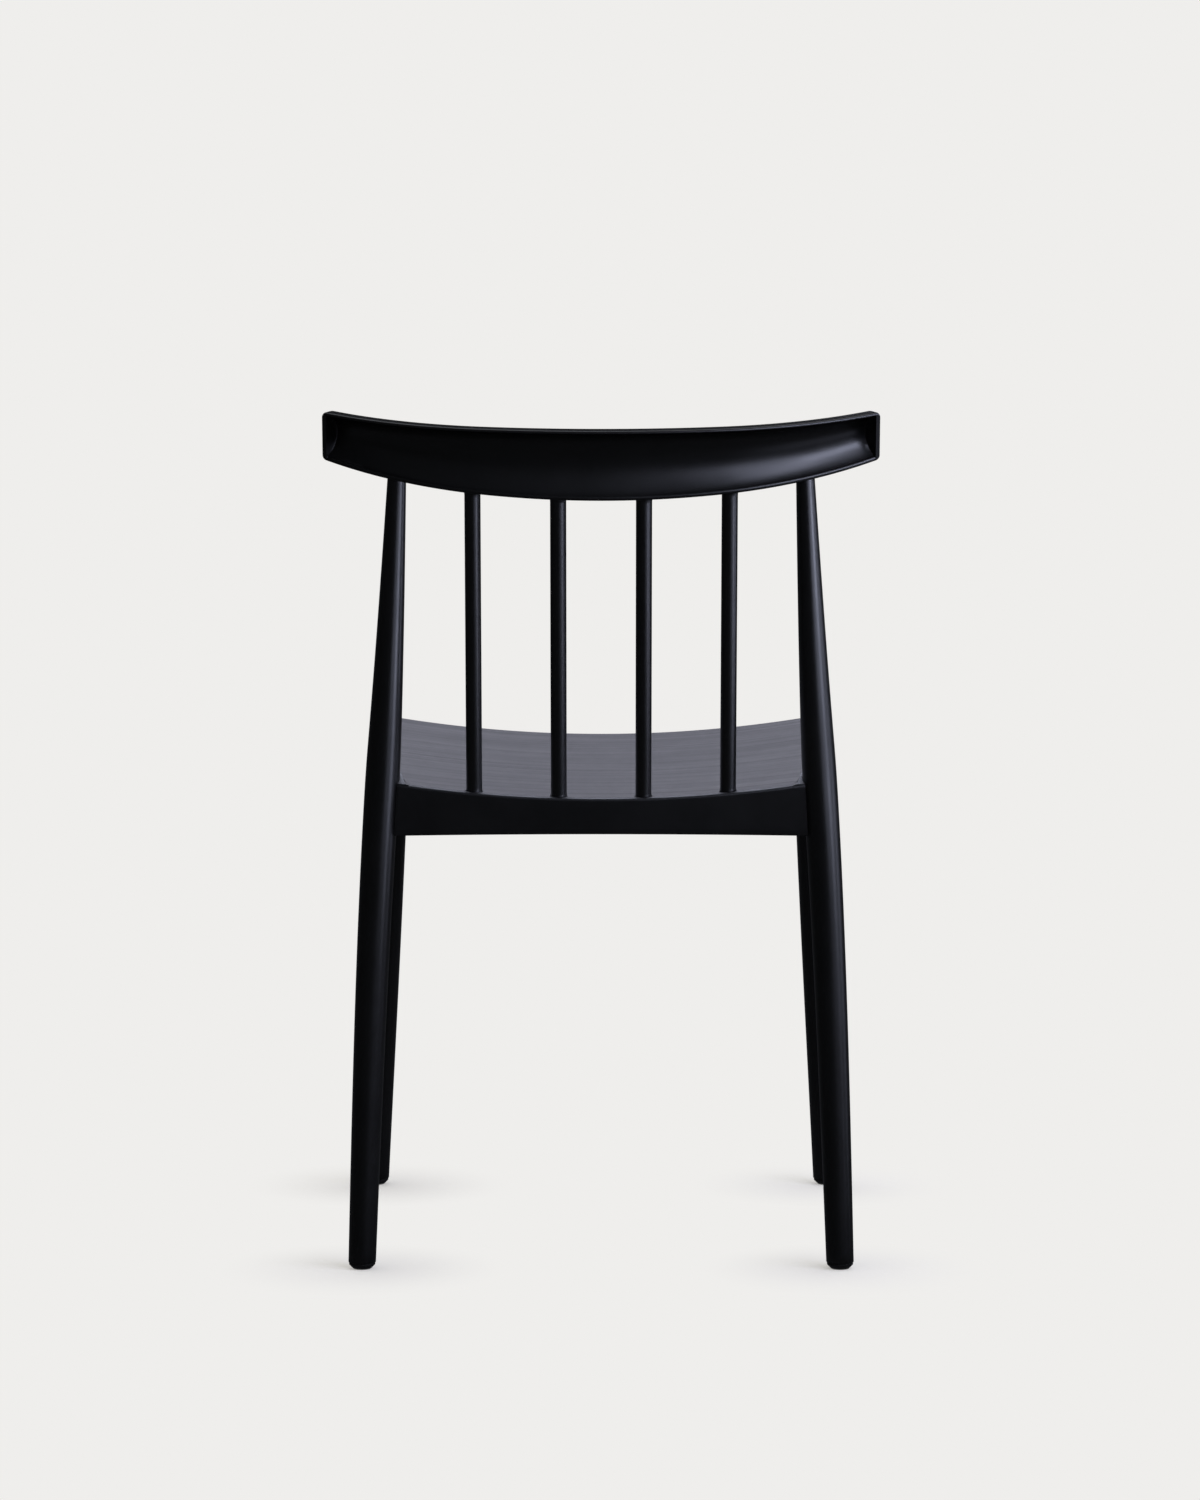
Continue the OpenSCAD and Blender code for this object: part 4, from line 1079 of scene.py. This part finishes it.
def area_light(name, at, facing, size, radiance, colour, spread=180):
    """A softbox, by its place, the way it faces, its size and its brightness along its axis."""
    light = bpy.data.lights.new(name, "AREA")
    light.shape = "RECTANGLE"
    light.size, light.size_y = size
    half = math.radians(spread / 2)
    light.spread = 2 * half
    held = 1 if spread == 180 else 1 - half / math.tan(half)
    light.energy = radiance * math.pi * size[0] * size[1] * held
    light.color = colour
    obj = bpy.data.objects.new(name, light)
    obj.location = Vector(at)
    obj.rotation_euler = Vector(facing).to_track_quat("-Z", "Y").to_euler()
    obj.visible_camera = False
    bpy.context.scene.collection.objects.link(obj)
    return obj


def upright(name, bearings, heights, radiance, colour):
    """A softbox that stands round the chair and faces it."""
    distance = 2.4
    half = math.radians(bearings[1] - bearings[0]) / 2
    at = distance * math.cos(half) * toward(sum(bearings) / 2)
    at = at + [0, LAMP_MIDDLE_Y, sum(heights) / 2]
    size = (2 * distance * math.sin(half), heights[1] - heights[0])
    return area_light(name, at, [-at[0], LAMP_MIDDLE_Y - at[1], 0], size, radiance, colour)


def shine_on(light, *objects):
    """Lets a lamp light these objects only."""
    group = bpy.data.collections.new(light.name)
    for obj in objects:
        group.objects.link(obj)
    light.light_linking.receiver_collection = group


def make_lights(floor):
    window, sky, down = (0.73, 0.77, 1.0), (0.83, 0.835, 1.0), (0, 0, -1)
    rail, seat = skins["crest_rail"], skins["seat"]
    # windows to the right of the camera
    upright("window_high", (25, 56), (2.0, 3.0), 5.2, window)
    upright("window_edge", (18, 45), (1.2, 2.0), 3.8, window)
    upright("window_middle", (46, 76), (1.48, 2.08), 10.5, window)
    upright("window_side", (76, 112), (0.9, 1.5), 6.0, window).visible_diffuse = False
    upright("window_back", (60, 115), (2.0, 3.2), 1.6, window)
    # the side that the chair faces, with a lamp of its own for the rail
    front = upright("front", (145, 215), (0.9, 1.5), 1.38, sky)
    shine_on(front, floor, *(piece for piece in skins.values() if piece is not rail))
    shine_on(upright("front_rail", (138, 172), (0.9, 1.6), 1.3, sky), rail)
    area_light("overhead", (0, -0.8, 3.2), down, (3.0, 2.0), 1.5, (0.9, 0.93, 1.0))
    # the sitter's left and overhead, for the seat alone
    shine_on(upright("seat_left", (215, 320), (0.9, 2.0), 1.2, window), seat)
    shine_on(area_light("seat_top", (0, -0.5, 2.6), down, (2.4, 1.6), 4.0, window), seat)
    # low strips right of the camera, in a grid, that draw a bright line down the posts and
    # spindles: (name, pieces, height that they aim at, brightness)
    spindles = [piece for node, piece in skins.items() if node.startswith("spindle_")]
    lines = (
        ("left", [skins["rear_leg_left"]], 0.83, 20.0),
        ("right", [skins["rear_leg_right"]], 0.7, 21.0),
        ("spindles", spindles, 0.67, 9.5),
    )
    for bearing, share in ((32, 0.35), (58, 1.12), (90, 0.48)):
        at = 2.0 * toward(bearing) + [0, LAMP_MIDDLE_Y, 0.15]
        for name, pieces, height, radiance in lines:
            name, aim = f"low_strip_{name}_{bearing}", np.array([0, 0.2, height]) - at
            shine_on(area_light(name, at, aim, (1.1, 0.4), share * radiance, window, 34), *pieces)
    at = 1.45 * toward(66) + [0, LAMP_MIDDLE_Y, 0.08]
    aim = np.array([-0.2, 0.2, 0.75]) - at
    shine_on(area_light("low_strip_rail", at, aim, (1.6, 0.9), 0.4, window), rail)


# in points of the photograph: its height, the camera's focal length and its shift
FRAME_H, FOCAL, SHIFT = 1500, 5405, -1.1
SENSOR_MM = 36.0
CAMERA_Y, CAMERA_Z, CAMERA_DOWN = 5.225, 0.9615, 5.406


def make_camera():
    """The photograph's camera: straight behind the chair, nearly 1 m up, looking slightly down."""
    data = bpy.data.cameras.new("camera")
    data.sensor_fit = "VERTICAL"
    data.sensor_height = SENSOR_MM
    data.lens = SENSOR_MM * FOCAL / FRAME_H
    data.shift_x = SHIFT / FRAME_H
    data.clip_end = 60.0
    camera = bpy.data.objects.new("camera", data)
    camera.location = (0, CAMERA_Y, CAMERA_Z)
    camera.rotation_euler = (math.radians(90 - CAMERA_DOWN), 0, math.radians(180))
    bpy.context.scene.collection.objects.link(camera)
    bpy.context.scene.camera = camera


make_world()
floor = make_floor()
make_flags()
make_lights(floor)
make_camera()
bpy.context.scene.view_settings.view_transform = "Standard"
